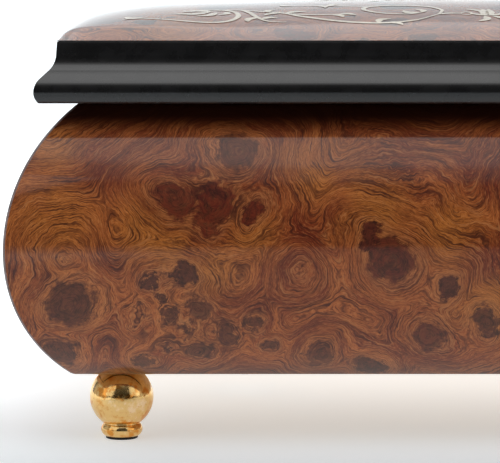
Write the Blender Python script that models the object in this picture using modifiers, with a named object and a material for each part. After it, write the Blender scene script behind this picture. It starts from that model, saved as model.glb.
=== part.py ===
"""Musical jewelry box.

A bombe case in burl veneer on four turned feet. Its domed lid swings on two butt hinges. Inside are
a velvet-lined jewelry compartment with ring rolls and, under a clear cover, a wind-up musical
movement: spring barrel, pinned cylinder, steel comb, governor and a plunger that the lid presses.

Sizes are in metres and +Z is up. The front faces -Y, and the origin is on the floor under the
middle of the case.
"""

import math

import bmesh
import bpy
from mathutils import Matrix, Vector

# Clearances
GAP = 0.0003
RUNNING_GAP = 0.0004
CUT_MARGIN = 0.0010
JOIN_OVERLAP = 0.0010

# Case
BOX_WIDTH = 0.200
BOX_DEPTH = 0.140
FOOT_HEIGHT = 0.0145
BODY_HEIGHT = 0.0563
BULGE_RISE = 0.0265
BODY_INSET_TOP = 0.0144
BODY_INSET_BOTTOM = 0.0130
BODY_EDGE_RADIUS = 0.0016
WALL_THICKNESS = 0.0060
BOTTOM_THICKNESS = 0.0040
BOTTOM_LIP = 0.0032

# Feet
BALL_RADIUS = 0.00675
BALL_HEIGHT = 0.0088
NECK_RADIUS = 0.0040
NECK_HEIGHT = 0.0042
NECK_FLARE = 0.0006
BASE_BEAD_RADIUS = 0.0044
BASE_BEAD_HEIGHT = 0.0022
FOOT_PAD_RADIUS = 0.0036
FOOT_PAD_THICKNESS = 0.0006
FOOT_STUD_RADIUS = 0.0016
FOOT_STUD_LENGTH = 0.0030
FOOT_INSET_X = 0.0228
FOOT_INSET_Y = 0.0206

# Lid
LID_EDGE_HEIGHT = 0.0125
BEAD_INSET = 0.00595
BEAD_RISE = 0.0022
BEAD_UNDERCUT = 0.00095
BEAD_SHOULDER_RISE = 0.0026
BEAD_SHOULDER = 0.0010
COVE_RADIUS = 0.0047
COVE_ANGLE = math.radians(50)
FASCIA_HEIGHT = 0.0025
FASCIA_DRAFT = 0.0002
CROWN_INSET = 0.0105
CROWN_EDGE = 0.0005
CROWN_RISE = 0.0078
CROWN_LONG_POWER = 3.0
CROWN_LONG_ROOT = 2.1
CROWN_SHORT_POWER = 2.2
CROWN_SHORT_ROOT = 1.0
CROWN_PLUG_DEPTH = 0.0070
LID_LINING_THICKNESS = 0.0034
LID_LINING_EDGE_SHARE = 0.45
REAR_LEDGE = 0.0045

# Hinges
HINGE_SPACING = 0.110
HINGE_LENGTH = 0.018
HINGE_LEAF_WIDTH = 0.0052
HINGE_LEAF_THICKNESS = 0.0008
KNUCKLE_RADIUS = 0.0016
HINGE_PIN_RADIUS = 0.0007
HINGE_PIN_SETBACK = 0.0022

# Compartments
MOVEMENT_ROOM = 0.0483
PARTITION_THICKNESS = 0.0030
PARTITION_HEIGHT = 0.0455
LINING_THICKNESS = 0.0010
LINING_HEIGHT = 0.0478
DIVIDER_Y = 0.0080
DIVIDER_THICKNESS = 0.0030
DIVIDER_HEIGHT = 0.0423
RING_TRAY_RISE = 0.0288
RING_TRAY_THICKNESS = 0.0030
RING_LEDGE_SIZE = 0.0030
RING_ROLLS = 4
ROLL_DOME_SHARE = 0.55
COVER_RISE = 0.0395
COVER_THICKNESS = 0.0020
COVER_LEDGE_SIZE = 0.0032
FINGER_HOLE_RADIUS = 0.0070
FINGER_HOLE_Y = 0.0250

# Movement, in a frame of its own: X along the cylinder, Z up from the bottom board
BEDPLATE_LENGTH = 0.0570
BEDPLATE_WIDTH = 0.0410
BEDPLATE_THICKNESS = 0.0020
BOSS_RADIUS = 0.0030
BOSS_HEIGHT = 0.0030
BOSS_PLACES = ((-0.0245, 0.0170), (0.0245, 0.0170), (-0.0010, -0.0170))
MOUNT_SCREW_RADIUS = 0.0012
MOUNT_HEAD_RADIUS = 0.0026
MOUNT_HEAD_HEIGHT = 0.0011
BARREL_X = 0.0150
BARREL_RADIUS = 0.0125
BARREL_HEIGHT = 0.0065
BARREL_WALL = 0.0010
BARREL_LIFT = 0.0007
CROWN_TEETH = 56
CROWN_FACE = 0.0018
TOOTH_ADDENDUM = 0.00035
TOOTH_DEDENDUM = 0.00050
TOOTH_THICKNESS = 0.00045
PINION_TEETH = 10
ARBOR_RADIUS = 0.0016
SPRING_THICKNESS = 0.0004
SPRING_TURNS = 5
CYLINDER_Y = -0.0040
CYLINDER_RADIUS = 0.0064
CYLINDER_LENGTH = 0.0200
CYLINDER_END_X = -0.0005
CYLINDER_ARBOR_RADIUS = 0.0009
PIN_RADIUS = 0.00022
PIN_HEIGHT = 0.0006
PIN_SUNK = 0.0005
PINS_PER_NOTE = 3
NOTES = 18
COMB_CLEARANCE = 0.00015
COMB_THICKNESS = 0.0012
COMB_BAR = 0.0060
LONGEST_TOOTH = 0.0092
SHORTEST_TOOTH = 0.0066
COMB_SLOT = 0.0003
COMB_SCREW_RADIUS = 0.0018
COMB_HEAD_HEIGHT = 0.0010
COMB_HEAD_CHAMFER = 0.0003
COMB_SHANK_RADIUS = 0.0009
COMB_SHANK_LENGTH = 0.0030
BEARING_HALF_WIDTH = 0.0035
BEARING_RISE = 0.0025
WHEEL_TEETH = 36
WHEEL_THICKNESS = 0.0010
GEAR_MODULE = 0.00036
TRAIN_PINION_TEETH = 9
WORM_WHEEL_TEETH = 20
TRAIN_SLOPE = math.radians(20)
FRAME_THICKNESS = 0.0012
FRAME_ARM_HALF_WIDTH = 0.0015
FRAME_ARM_REACH = 0.0016
FRAME_SIDE = 0.0030
GOVERNOR_ARBOR_RADIUS = 0.0006
WORM_RADIUS = 0.0008
FAN_SHAFT_RADIUS = 0.0005
FAN_RADIUS = 0.0055
FAN_HEIGHT = 0.0030
FAN_BLADE_THICKNESS = 0.0005
PLUNGER_RADIUS = 0.0008
PLUNGER_COLLAR_RADIUS = 0.0016
PLUNGER_TRAVEL = 0.0040
KEY_DROP = 0.0100
KEY_WIDTH = 0.0180
KEY_HUB_RADIUS = 0.0031
KEY_BLADE_THICKNESS = 0.0016
KEY_HUB_SHARE = 0.45
KEY_WING_SHARE = 0.30
KEY_EYE_SHARE = 0.45

# Worked out from the sizes above
BODY_BOTTOM = FOOT_HEIGHT
BODY_TOP = BODY_BOTTOM + BODY_HEIGHT - GAP / 2
LID_BOTTOM = BODY_TOP + GAP
LID_EDGE_TOP = LID_BOTTOM + LID_EDGE_HEIGHT
BULGE_HEIGHT = BODY_BOTTOM + BULGE_RISE
INNER_INSET = BODY_INSET_TOP + WALL_THICKNESS
INNER_X = BOX_WIDTH / 2 - INNER_INSET
INNER_Y = BOX_DEPTH / 2 - INNER_INSET
FLOOR = BODY_BOTTOM + BOTTOM_THICKNESS
MITRE_GAP = GAP / math.sqrt(2)
REAR_FACE = BOX_DEPTH / 2 - BODY_INSET_TOP
HINGE_Y = REAR_FACE + HINGE_PIN_SETBACK
HINGE_Z = (BODY_TOP + LID_BOTTOM) / 2
PARTITION_X = -INNER_X + MOVEMENT_ROOM
MOVEMENT_X = -INNER_X + MOVEMENT_ROOM / 2
BEDPLATE_BOTTOM = GAP + BOSS_HEIGHT
BEDPLATE_TOP = BEDPLATE_BOTTOM + BEDPLATE_THICKNESS
BARREL_BOTTOM = BEDPLATE_TOP + BARREL_LIFT
BARREL_TOP = BARREL_BOTTOM + BARREL_HEIGHT
CROWN_PITCH_RADIUS = BARREL_RADIUS - CROWN_FACE / 2
PINION_PITCH_RADIUS = CROWN_PITCH_RADIUS * PINION_TEETH / CROWN_TEETH
CYLINDER_Z = BARREL_TOP + TOOTH_DEDENDUM + PINION_PITCH_RADIUS
PIN_TIP_RADIUS = CYLINDER_RADIUS + PIN_HEIGHT
CYLINDER_FAR_X = CYLINDER_END_X - CYLINDER_LENGTH
NOTE_PITCH = (CYLINDER_LENGTH - 2 * RUNNING_GAP) / NOTES
COMB_TIP_Y = CYLINDER_Y + PIN_TIP_RADIUS + COMB_CLEARANCE
COMB_BAR_Y = COMB_TIP_Y + LONGEST_TOOTH
WHEEL_RADIUS = WHEEL_TEETH * GEAR_MODULE / 2
TRAIN_PINION_RADIUS = TRAIN_PINION_TEETH * GEAR_MODULE / 2
WORM_WHEEL_RADIUS = WORM_WHEEL_TEETH * GEAR_MODULE / 2
WHEEL_X = CYLINDER_FAR_X - RUNNING_GAP - WHEEL_THICKNESS / 2
FRAME_X = WHEEL_X - WHEEL_THICKNESS / 2 - 2 * RUNNING_GAP - FRAME_THICKNESS / 2
WORM_WHEEL_X = FRAME_X - FRAME_THICKNESS / 2 - 2 * RUNNING_GAP - WHEEL_THICKNESS / 2
GOVERNOR_Y = CYLINDER_Y - (WHEEL_RADIUS + TRAIN_PINION_RADIUS) * math.cos(TRAIN_SLOPE)
GOVERNOR_Z = CYLINDER_Z - (WHEEL_RADIUS + TRAIN_PINION_RADIUS) * math.sin(TRAIN_SLOPE)
FAN_Y = GOVERNOR_Y - WORM_WHEEL_RADIUS - TOOTH_ADDENDUM - RUNNING_GAP - WORM_RADIUS
FAN_PLACE = (WORM_WHEEL_X, FAN_Y)
FRAME_ARM_BOTTOM = GOVERNOR_Z + WORM_WHEEL_RADIUS + TOOTH_ADDENDUM + 2 * RUNNING_GAP
FAN_BOTTOM = FRAME_ARM_BOTTOM + FRAME_THICKNESS + RUNNING_GAP
FAN_TOP = FAN_BOTTOM + FAN_HEIGHT + RUNNING_GAP
COVER_BOTTOM = FLOOR + COVER_RISE


def new_material(name, colour, roughness, metallic=0.0):
    material = bpy.data.materials.new(name)
    material.use_nodes = True
    shader = material.node_tree.nodes["Principled BSDF"]
    shader.inputs["Base Color"].default_value = (*colour, 1.0)
    shader.inputs["Roughness"].default_value = roughness
    shader.inputs["Metallic"].default_value = metallic
    return material


def clear_scene():
    for obj in list(bpy.data.objects):
        bpy.data.objects.remove(obj)


def new_collection(name):
    collection = bpy.data.collections.new(name)
    bpy.context.scene.collection.children.link(collection)
    return collection


clear_scene()
PARTS = new_collection("musical_jewelry_box")
CUTTERS = new_collection("cutters")

BURL = new_material("burl_veneer", (0.16, 0.055, 0.022), 0.12)
LACQUER = new_material("black_lacquer", (0.004, 0.004, 0.004), 0.10)
GOLD = new_material("polished_gold", (0.80, 0.52, 0.20), 0.12, 1.0)
BRASS = new_material("brass", (0.72, 0.50, 0.22), 0.25, 1.0)
STEEL = new_material("steel", (0.56, 0.57, 0.58), 0.28, 1.0)
ZINC = new_material("cast_zinc", (0.42, 0.43, 0.44), 0.45, 1.0)
PLYWOOD = new_material("plywood", (0.30, 0.19, 0.10), 0.60)
VELVET = new_material("velvet", (0.13, 0.008, 0.015), 0.90)
FELT = new_material("felt", (0.012, 0.012, 0.012), 0.95)
ACRYLIC = new_material("clear_acrylic", (0.90, 0.93, 0.94), 0.05)
BLACK_PLASTIC = new_material("black_plastic", (0.01, 0.01, 0.01), 0.40)


def new_object(name, mesh, material, collection=None):
    obj = bpy.data.objects.new(name, mesh)
    (collection or PARTS).objects.link(obj)
    if material:
        mesh.materials.append(material)
    return obj


def object_from(name, bm, material, collection=None):
    """Turns a finished bmesh into an object, with its faces turned outwards."""
    bmesh.ops.recalc_face_normals(bm, faces=bm.faces)
    mesh = bpy.data.meshes.new(name)
    bm.to_mesh(mesh)
    bm.free()
    return new_object(name, mesh, material, collection)


def shade_round(obj, angle=math.radians(35)):
    obj.data.shade_smooth()
    obj.data.set_sharp_from_angle(angle=angle)
    return obj


def pivot(name, location, parent=None):
    """An empty on a joint's axis, which carries the pieces that turn or slide there."""
    empty = bpy.data.objects.new(name, None)
    PARTS.objects.link(empty)
    empty.location = location
    empty.parent = parent
    empty.empty_display_size = 0.01
    return empty


def block(name, low, high, material, collection=None):
    """A cuboid from its two opposite corners."""
    low = Vector(low)
    high = Vector(high)
    bm = bmesh.new()
    bmesh.ops.create_cube(bm, size=1.0)
    bmesh.ops.scale(bm, vec=high - low, verts=bm.verts)
    bmesh.ops.translate(bm, vec=(high + low) / 2, verts=bm.verts)
    return object_from(name, bm, material, collection)


def turned(name, profile, material, steps=32, collection=None, smooth=True, ring=False):
    """A piece of revolution about Z. The profile runs down its outer side, top to bottom.

    A ring's profile comes back up the bore and closes on itself.
    """
    bm = bmesh.new()
    points = [bm.verts.new((radius, 0.0, z)) for radius, z in profile]
    following = points[1:] + points[:1] if ring else points[1:]
    for above, below in zip(points, following):
        bm.edges.new((above, below))
    mesh = bpy.data.meshes.new(name)
    bm.to_mesh(mesh)
    bm.free()
    obj = new_object(name, mesh, material, collection)
    screw = obj.modifiers.new("turned", "SCREW")
    screw.steps = steps
    screw.render_steps = steps
    screw.use_merge_vertices = True
    screw.merge_threshold = 0.00001
    screw.use_smooth_shade = smooth
    return obj


def rod(name, radius, bottom, top, material, steps=24, collection=None):
    profile = [(0.0, top), (radius, top), (radius, bottom), (0.0, bottom)]
    return turned(name, profile, material, steps, collection, smooth=False)


def drill(name, x, y, radius, low, high, steps=24):
    """A cutter for a round hole along Z."""
    cutter = rod(name, radius, low, high, None, steps, CUTTERS)
    cutter.location = (x, y, 0.0)
    return cutter


def extruded(name, outline, thickness, material, collection=None, holes=()):
    """A flat outline in XY with its holes, made thick about its own plane, as a mesh."""
    curve = bpy.data.curves.new(name, "CURVE")
    curve.dimensions = "2D"
    curve.fill_mode = "BOTH"
    curve.extrude = thickness / 2
    for closed_line in (outline, *holes):
        spline = curve.splines.new("POLY")
        spline.points.add(len(closed_line) - 1)
        for point, (x, y) in zip(spline.points, closed_line):
            point.co = (x, y, 0.0, 1.0)
        spline.use_cyclic_u = True
    drawn = bpy.data.objects.new(name + "_outline", curve)
    PARTS.objects.link(drawn)
    bpy.context.view_layer.update()
    graph = bpy.context.evaluated_depsgraph_get()
    mesh = bpy.data.meshes.new_from_object(drawn.evaluated_get(graph))
    mesh.materials.clear()
    bm = bmesh.new()
    bm.from_mesh(mesh)
    bmesh.ops.remove_doubles(bm, verts=bm.verts, dist=0.000001)
    bpy.data.objects.remove(drawn)
    return object_from(name, bm, material, collection)


def boolean(obj, other, operation):
    """Cuts other from obj or joins it on, and hides other as a guide."""
    modifier = obj.modifiers.new(operation.lower() + "_" + other.name, "BOOLEAN")
    modifier.operation = operation
    modifier.object = other
    modifier.solver = "EXACT"
    other.hide_render = True
    other.display_type = "WIRE"
    return obj


def cut(obj, *cutters, attached=False):
    """Cuts the cutters away. Attached ones are in obj's own frame and move with it."""
    for cutter in cutters:
        boolean(obj, cutter, "DIFFERENCE")
        if attached:
            cutter.parent = obj
    return obj


def fuse(obj, *others, attached=False):
    """Joins the others on. Attached ones are in obj's own frame and move with it."""
    for other in others:
        boolean(obj, other, "UNION")
        if attached:
            other.parent = obj
        for collection in list(other.users_collection):
            collection.objects.unlink(other)
        CUTTERS.objects.link(other)
    return obj


def arc(centre, radius, start, end, points):
    """Points on a circle, both ends included. Angles are from +X in radians."""
    step = (end - start) / (points - 1)
    angles = [start + index * step for index in range(points)]
    return [
        (centre[0] + radius * math.cos(angle), centre[1] + radius * math.sin(angle))
        for angle in angles
    ]


def draw_in(widest, draw, rise, points):
    """An arc that leaves its widest point square and has drawn in by draw at a height of rise."""
    radius = (rise * rise + draw * draw) / (2 * draw)
    spread = math.asin(rise / radius)
    inset, height = widest
    return [
        (
            inset + radius - radius * math.cos(spread * index / (points - 1)),
            height + math.copysign(radius * math.sin(spread * index / (points - 1)), rise),
        )
        for index in range(points)
    ]


def mitred_side(name, profile, half_length, half_span, turn, material, square_ends=(None, None)):
    """One side of a mitred frame.

    The profile is a closed outline of (inset from the bulge, height). The side lies along X at
    Y = -half_span and is turned about Z. A value in square_ends replaces the mitre at that end.
    """
    bm = bmesh.new()
    near = [bm.verts.new((0.0, inset - half_span, z)) for inset, z in profile]
    bmesh.ops.contextual_create(bm, geom=near)
    swept = bmesh.ops.extrude_face_region(bm, geom=bm.faces[:])
    far = [item for item in swept["geom"] if isinstance(item, bmesh.types.BMVert)]
    for side, verts, square_end in ((-1, near, square_ends[0]), (1, far, square_ends[1])):
        for vert in verts:
            inset = vert.co.y + half_span
            vert.co.x = side * (half_length - inset - MITRE_GAP)
            if square_end is not None:
                vert.co.x = square_end
    obj = object_from(name, bm, material)
    obj.rotation_euler = (0.0, 0.0, turn)
    return shade_round(obj)


def body_profile():
    """The wall's section: two arcs outside, and inside a flat face with a rebate for the bottom."""
    foot_of_wall = BODY_BOTTOM + BODY_EDGE_RADIUS
    upper = draw_in((0.0, BULGE_HEIGHT), BODY_INSET_TOP, BODY_TOP - BULGE_HEIGHT, 12)
    lower = draw_in((0.0, BULGE_HEIGHT), BODY_INSET_BOTTOM, BODY_BOTTOM - BULGE_HEIGHT, 12)
    lower = [point for point in lower if point[1] > foot_of_wall]
    edge_inset = lower[-1][0] + BODY_EDGE_RADIUS
    edge = arc((edge_inset, foot_of_wall), BODY_EDGE_RADIUS, math.radians(205), math.radians(270), 4)
    rebate_inset = BODY_INSET_BOTTOM + BOTTOM_LIP
    rebate_top = FLOOR + GAP
    inside = [
        (rebate_inset, BODY_BOTTOM),
        (rebate_inset, rebate_top),
        (INNER_INSET, rebate_top),
        (INNER_INSET, BODY_TOP),
    ]
    return lower + edge + inside + upper[:0:-1]


def make_walls():
    profile = body_profile()
    sides = {
        "front_panel": (BOX_WIDTH, BOX_DEPTH, 0),
        "right_panel": (BOX_DEPTH, BOX_WIDTH, 90),
        "back_panel": (BOX_WIDTH, BOX_DEPTH, 180),
        "left_panel": (BOX_DEPTH, BOX_WIDTH, -90),
    }
    walls = {}
    for name, (length, span, turn) in sides.items():
        walls[name] = mitred_side(name, profile, length / 2, span / 2, math.radians(turn), BURL)
    return walls


def foot_places():
    across = BOX_WIDTH / 2 - FOOT_INSET_X
    along = BOX_DEPTH / 2 - FOOT_INSET_Y
    return {
        "front_left": (-across, -along),
        "front_right": (across, -along),
        "back_left": (-across, along),
        "back_right": (across, along),
    }


def foot_profile():
    seat = FOOT_HEIGHT - GAP
    seat_angle = math.asin((seat - BALL_HEIGHT) / BALL_RADIUS)
    neck_angle = -math.acos((NECK_RADIUS + NECK_FLARE) / BALL_RADIUS)
    bead_radius = BASE_BEAD_HEIGHT - FOOT_PAD_THICKNESS - GAP
    bead_centre = (BASE_BEAD_RADIUS - bead_radius, BASE_BEAD_HEIGHT)
    underside = BASE_BEAD_HEIGHT - bead_radius
    stud_top = BODY_BOTTOM + FOOT_STUD_LENGTH
    return [
        (0.0, stud_top),
        (FOOT_STUD_RADIUS, stud_top),
        (FOOT_STUD_RADIUS, seat),
        *arc((0.0, BALL_HEIGHT), BALL_RADIUS, seat_angle, neck_angle, 9),
        (NECK_RADIUS, NECK_HEIGHT),
        *arc(bead_centre, bead_radius, math.radians(60), math.radians(-80), 5),
        (FOOT_PAD_RADIUS, underside),
        (0.0, underside),
    ]


def make_feet():
    profile = foot_profile()
    for place, (x, y) in foot_places().items():
        foot = turned("foot_" + place, profile, GOLD, steps=24)
        foot.location = (x, y, 0.0)
        pad = rod("foot_pad_" + place, FOOT_PAD_RADIUS, 0.0, FOOT_PAD_THICKNESS, FELT, 24)
        pad.location = (x, y, 0.0)


def make_bottom():
    """The bottom board, drilled for the foot studs, the winding shaft and the movement's screws."""
    half_x = BOX_WIDTH / 2 - BODY_INSET_BOTTOM - BOTTOM_LIP - GAP
    half_y = BOX_DEPTH / 2 - BODY_INSET_BOTTOM - BOTTOM_LIP - GAP
    bottom = block(
        "bottom_panel", (-half_x, -half_y, BODY_BOTTOM), (half_x, half_y, FLOOR), PLYWOOD
    )
    low = BODY_BOTTOM - CUT_MARGIN
    high = FLOOR + CUT_MARGIN
    holes = [(x, y, FOOT_STUD_RADIUS + GAP) for x, y in foot_places().values()]
    holes += [(*movement_point(x, y), MOUNT_SCREW_RADIUS + GAP) for x, y in BOSS_PLACES]
    holes.append((*movement_point(BARREL_X, CYLINDER_Y), ARBOR_RADIUS + RUNNING_GAP))
    for index, (x, y, radius) in enumerate(holes):
        cut(bottom, drill(f"bottom_hole_{index}", x, y, radius, low, high, 16))
    return bottom


def moulding_profile():
    """The lid edge's section: a bead below, a cove above it and a nearly upright fascia."""
    widest = (BEAD_INSET, LID_BOTTOM + BEAD_RISE)
    under = draw_in(widest, BEAD_UNDERCUT, -BEAD_RISE, 5)
    shoulder = draw_in(widest, BEAD_SHOULDER, BEAD_SHOULDER_RISE, 5)
    fascia_foot = (CROWN_INSET - FASCIA_DRAFT, LID_EDGE_TOP - FASCIA_HEIGHT)
    centre = (fascia_foot[0] - COVE_RADIUS, fascia_foot[1])
    cove = arc(centre, COVE_RADIUS, 0.0, -COVE_ANGLE, 8)
    inner = [(INNER_INSET, LID_EDGE_TOP), (INNER_INSET, LID_BOTTOM)]
    return inner + under[::-1] + shoulder[1:] + cove[::-1] + [(CROWN_INSET, LID_EDGE_TOP)]


def crown_height(x, y, half_x, half_y):
    """How high the domed top stands over its edge."""
    along = max(0.0, 1 - abs(x / half_x) ** CROWN_LONG_POWER) ** (1 / CROWN_LONG_ROOT)
    across = max(0.0, 1 - abs(y / half_y) ** CROWN_SHORT_POWER) ** (1 / CROWN_SHORT_ROOT)
    return CROWN_RISE * along * across


def make_crown():
    """The domed top board, with a plug below it that sits inside the moulding frame."""
    half_x = BOX_WIDTH / 2 - CROWN_INSET
    front = -BOX_DEPTH / 2 + CROWN_INSET
    rear = REAR_FACE - REAR_LEDGE
    half_y = (rear - front) / 2
    middle_y = (rear + front) / 2
    seat = LID_EDGE_TOP + GAP
    edge_top = seat + CROWN_EDGE
    bm = bmesh.new()
    bmesh.ops.create_grid(bm, x_segments=24, y_segments=18, size=1.0)
    for vert in bm.verts:
        x = half_x * math.sin(vert.co.x * math.pi / 2)
        y = half_y * math.sin(vert.co.y * math.pi / 2)
        vert.co = (x, middle_y + y, edge_top + crown_height(x, y, half_x, half_y))
    rim = [edge for edge in bm.edges if edge.is_boundary]
    skirt = bmesh.ops.extrude_edge_only(bm, edges=rim)["geom"]
    for vert in (item for item in skirt if isinstance(item, bmesh.types.BMVert)):
        vert.co.z = seat
    underside = [edge for edge in bm.edges if edge.is_boundary]
    bmesh.ops.contextual_create(bm, geom=underside)
    crown = object_from("lid_crown", bm, BURL)
    plug = block(
        "lid_crown_plug",
        (-INNER_X + GAP, -INNER_Y + GAP, seat - CROWN_PLUG_DEPTH),
        (INNER_X - GAP, INNER_Y - GAP, seat + CROWN_EDGE),
        None,
        collection=CUTTERS,
    )
    fuse(crown, plug)
    return shade_round(crown)


def make_lid_lining():
    """The padded panel under the lid, crowned towards its middle."""
    top = LID_EDGE_TOP - CROWN_PLUG_DEPTH
    bm = bmesh.new()
    bmesh.ops.create_grid(bm, x_segments=12, y_segments=8, size=1.0)
    half_x = INNER_X - 3 * GAP
    half_y = INNER_Y - 3 * GAP
    for vert in bm.verts:
        x = math.sin(vert.co.x * math.pi / 2)
        y = math.sin(vert.co.y * math.pi / 2)
        swell = (1 - x**4) * (1 - y**4)
        depth = LID_LINING_THICKNESS * (0.45 + 0.55 * swell)
        vert.co = (half_x * x, half_y * y, top - depth)
    rim = [edge for edge in bm.edges if edge.is_boundary]
    skirt = bmesh.ops.extrude_edge_only(bm, edges=rim)["geom"]
    for vert in (item for item in skirt if isinstance(item, bmesh.types.BMVert)):
        vert.co.z = top
    bmesh.ops.contextual_create(bm, geom=[edge for edge in bm.edges if edge.is_boundary])
    return shade_round(object_from("lid_lining", bm, VELVET))


def make_lid():
    profile = moulding_profile()
    half_width = BOX_WIDTH / 2
    half_depth = BOX_DEPTH / 2
    quarter = math.radians(90)
    pieces = [
        mitred_side("lid_moulding_front", profile, half_width, half_depth, 0.0, LACQUER),
        mitred_side(
            "lid_moulding_right", profile, half_depth, half_width, quarter, LACQUER, (None, REAR_FACE)
        ),
        mitred_side(
            "lid_moulding_left", profile, half_depth, half_width, -quarter, LACQUER, (-REAR_FACE, None)
        ),
        block(
            "lid_moulding_back",
            (-INNER_X + GAP, INNER_Y, LID_BOTTOM),
            (INNER_X - GAP, REAR_FACE, LID_EDGE_TOP),
            LACQUER,
        ),
        make_crown(),
        make_lid_lining(),
    ]
    return {piece.name: piece for piece in pieces}


def hinge_knuckles(leaf):
    """(low, high) along the pin: the case leaf has the two outer knuckles, the lid leaf the middle."""
    third = HINGE_LENGTH / 3
    middle = (-third / 2, third / 2)
    if leaf == "lid":
        return [middle]
    return [(-HINGE_LENGTH / 2, middle[0] - GAP), (middle[1] + GAP, HINGE_LENGTH / 2)]


def cross_rod(name, radius, low, high, material, y, z, steps=16, collection=None):
    """A rod along X."""
    piece = rod(name, radius, low, high, material, steps, collection)
    piece.rotation_euler = (0.0, math.radians(90), 0.0)
    piece.location = (0.0, y, z)
    return piece


def make_hinge_leaf(name, leaf, x):
    """A leaf and its knuckles, in place at x. The case leaf lies below the parting line."""
    sign = 1 if leaf == "lid" else -1
    near = HINGE_Z + sign * GAP / 3
    far = near + sign * HINGE_LEAF_THICKNESS
    low_z = min(near, far)
    high_z = max(near, far)
    front = REAR_FACE - HINGE_LEAF_WIDTH
    half = HINGE_LENGTH / 2
    plate_end = HINGE_Y - KNUCKLE_RADIUS - RUNNING_GAP
    plate = block(name, (x - half, front, low_z), (x + half, plate_end, high_z), BRASS)
    for index, (low, high) in enumerate(hinge_knuckles(leaf)):
        label = f"{name}_{index}"
        tongue = block(
            label + "_tongue",
            (x + low, plate_end - JOIN_OVERLAP, low_z),
            (x + high, HINGE_Y, high_z),
            None,
        )
        barrel = cross_rod(
            label + "_knuckle", KNUCKLE_RADIUS, x + low, x + high, None, HINGE_Y, HINGE_Z
        )
        fuse(plate, tongue, barrel)
    bore = cross_rod(
        name + "_bore",
        HINGE_PIN_RADIUS + GAP / 2,
        x - HINGE_LENGTH,
        x + HINGE_LENGTH,
        None,
        HINGE_Y,
        HINGE_Z,
        collection=CUTTERS,
    )
    return cut(plate, bore)


def make_hinges(walls, lid):
    """Two butt hinges. Their leaves are let into the back panel's top edge and the lid's rear strip."""
    clear = GAP
    for side, x in (("left", -HINGE_SPACING / 2), ("right", HINGE_SPACING / 2)):
        make_hinge_leaf(f"hinge_{side}_case_leaf", "case", x)
        make_hinge_leaf(f"hinge_{side}_lid_leaf", "lid", x)
        half = HINGE_LENGTH / 2
        cross_rod(
            f"hinge_{side}_pin",
            HINGE_PIN_RADIUS,
            x - half - GAP,
            x + half + GAP,
            STEEL,
            HINGE_Y,
            HINGE_Z,
        )
        depth = GAP / 3 + HINGE_LEAF_THICKNESS + clear
        mortise = block(
            f"hinge_{side}_mortise",
            (x - half - clear, REAR_FACE - HINGE_LEAF_WIDTH - clear, HINGE_Z - depth),
            (x + half + clear, HINGE_Y + KNUCKLE_RADIUS, HINGE_Z + depth),
            None,
            collection=CUTTERS,
        )
        recess = cross_rod(
            f"hinge_{side}_recess",
            KNUCKLE_RADIUS + RUNNING_GAP,
            x - half - 2 * clear,
            x + half + 2 * clear,
            None,
            HINGE_Y,
            HINGE_Z,
            collection=CUTTERS,
        )
        cut(walls["back_panel"], mortise, recess)
        cut(lid["lid_moulding_back"], mortise, recess)


def make_compartments():
    """The partition, the divider, the velvet linings and the ring tray with its rolls."""
    floor = FLOOR + GAP
    partition_end = PARTITION_X + PARTITION_THICKNESS
    block(
        "movement_partition",
        (PARTITION_X, -INNER_Y + GAP, floor),
        (partition_end, INNER_Y - GAP, floor + PARTITION_HEIGHT),
        PLYWOOD,
    )
    left = partition_end + GAP
    right = INNER_X - GAP
    front = -INNER_Y + GAP
    back = INNER_Y - GAP
    lining_high = floor + LINING_HEIGHT
    block(
        "lining_front",
        (left, front, floor),
        (right, front + LINING_THICKNESS, lining_high),
        VELVET,
    )
    block("lining_back", (left, back - LINING_THICKNESS, floor), (right, back, lining_high), VELVET)
    inner_front = front + LINING_THICKNESS + GAP
    inner_back = back - LINING_THICKNESS - GAP
    block(
        "lining_left",
        (left, inner_front, floor),
        (left + LINING_THICKNESS, inner_back, floor + PARTITION_HEIGHT - LINING_THICKNESS + GAP),
        VELVET,
    )
    block(
        "lining_right",
        (right - LINING_THICKNESS, inner_front, floor),
        (right, inner_back, lining_high),
        VELVET,
    )
    inner_left = left + LINING_THICKNESS + GAP
    inner_right = right - LINING_THICKNESS - GAP
    half_divider = DIVIDER_THICKNESS / 2
    block(
        "ring_divider",
        (inner_left, DIVIDER_Y - half_divider, floor),
        (inner_right, DIVIDER_Y + half_divider, floor + DIVIDER_HEIGHT),
        VELVET,
    )
    well_back = DIVIDER_Y - half_divider - GAP
    tray_front = DIVIDER_Y + half_divider + GAP
    block(
        "lining_floor",
        (inner_left, inner_front, floor),
        (inner_right, well_back, floor + LINING_THICKNESS),
        VELVET,
    )
    make_ring_tray(inner_left, inner_right, tray_front, inner_back, floor + RING_TRAY_RISE)


def make_ring_tray(left, right, front, back, bottom):
    """A raised board on two ledges, and foam rolls side by side that hold rings between them."""
    ledge_top = bottom - GAP
    for name, low, high in (
        ("ring_ledge_left", left, left + RING_LEDGE_SIZE),
        ("ring_ledge_right", right - RING_LEDGE_SIZE, right),
    ):
        block(name, (low, front, ledge_top - RING_LEDGE_SIZE), (high, back, ledge_top), PLYWOOD)
    top = bottom + RING_TRAY_THICKNESS
    block("ring_tray", (left, front, bottom), (right, back, top), VELVET)
    pitch = (back - front - GAP) / RING_ROLLS
    radius = (pitch - GAP) / 2
    for index in range(RING_ROLLS):
        y = front + GAP + radius + index * pitch
        make_ring_roll(f"ring_roll_{index + 1}", left, right, y, top + GAP + radius, radius)


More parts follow.
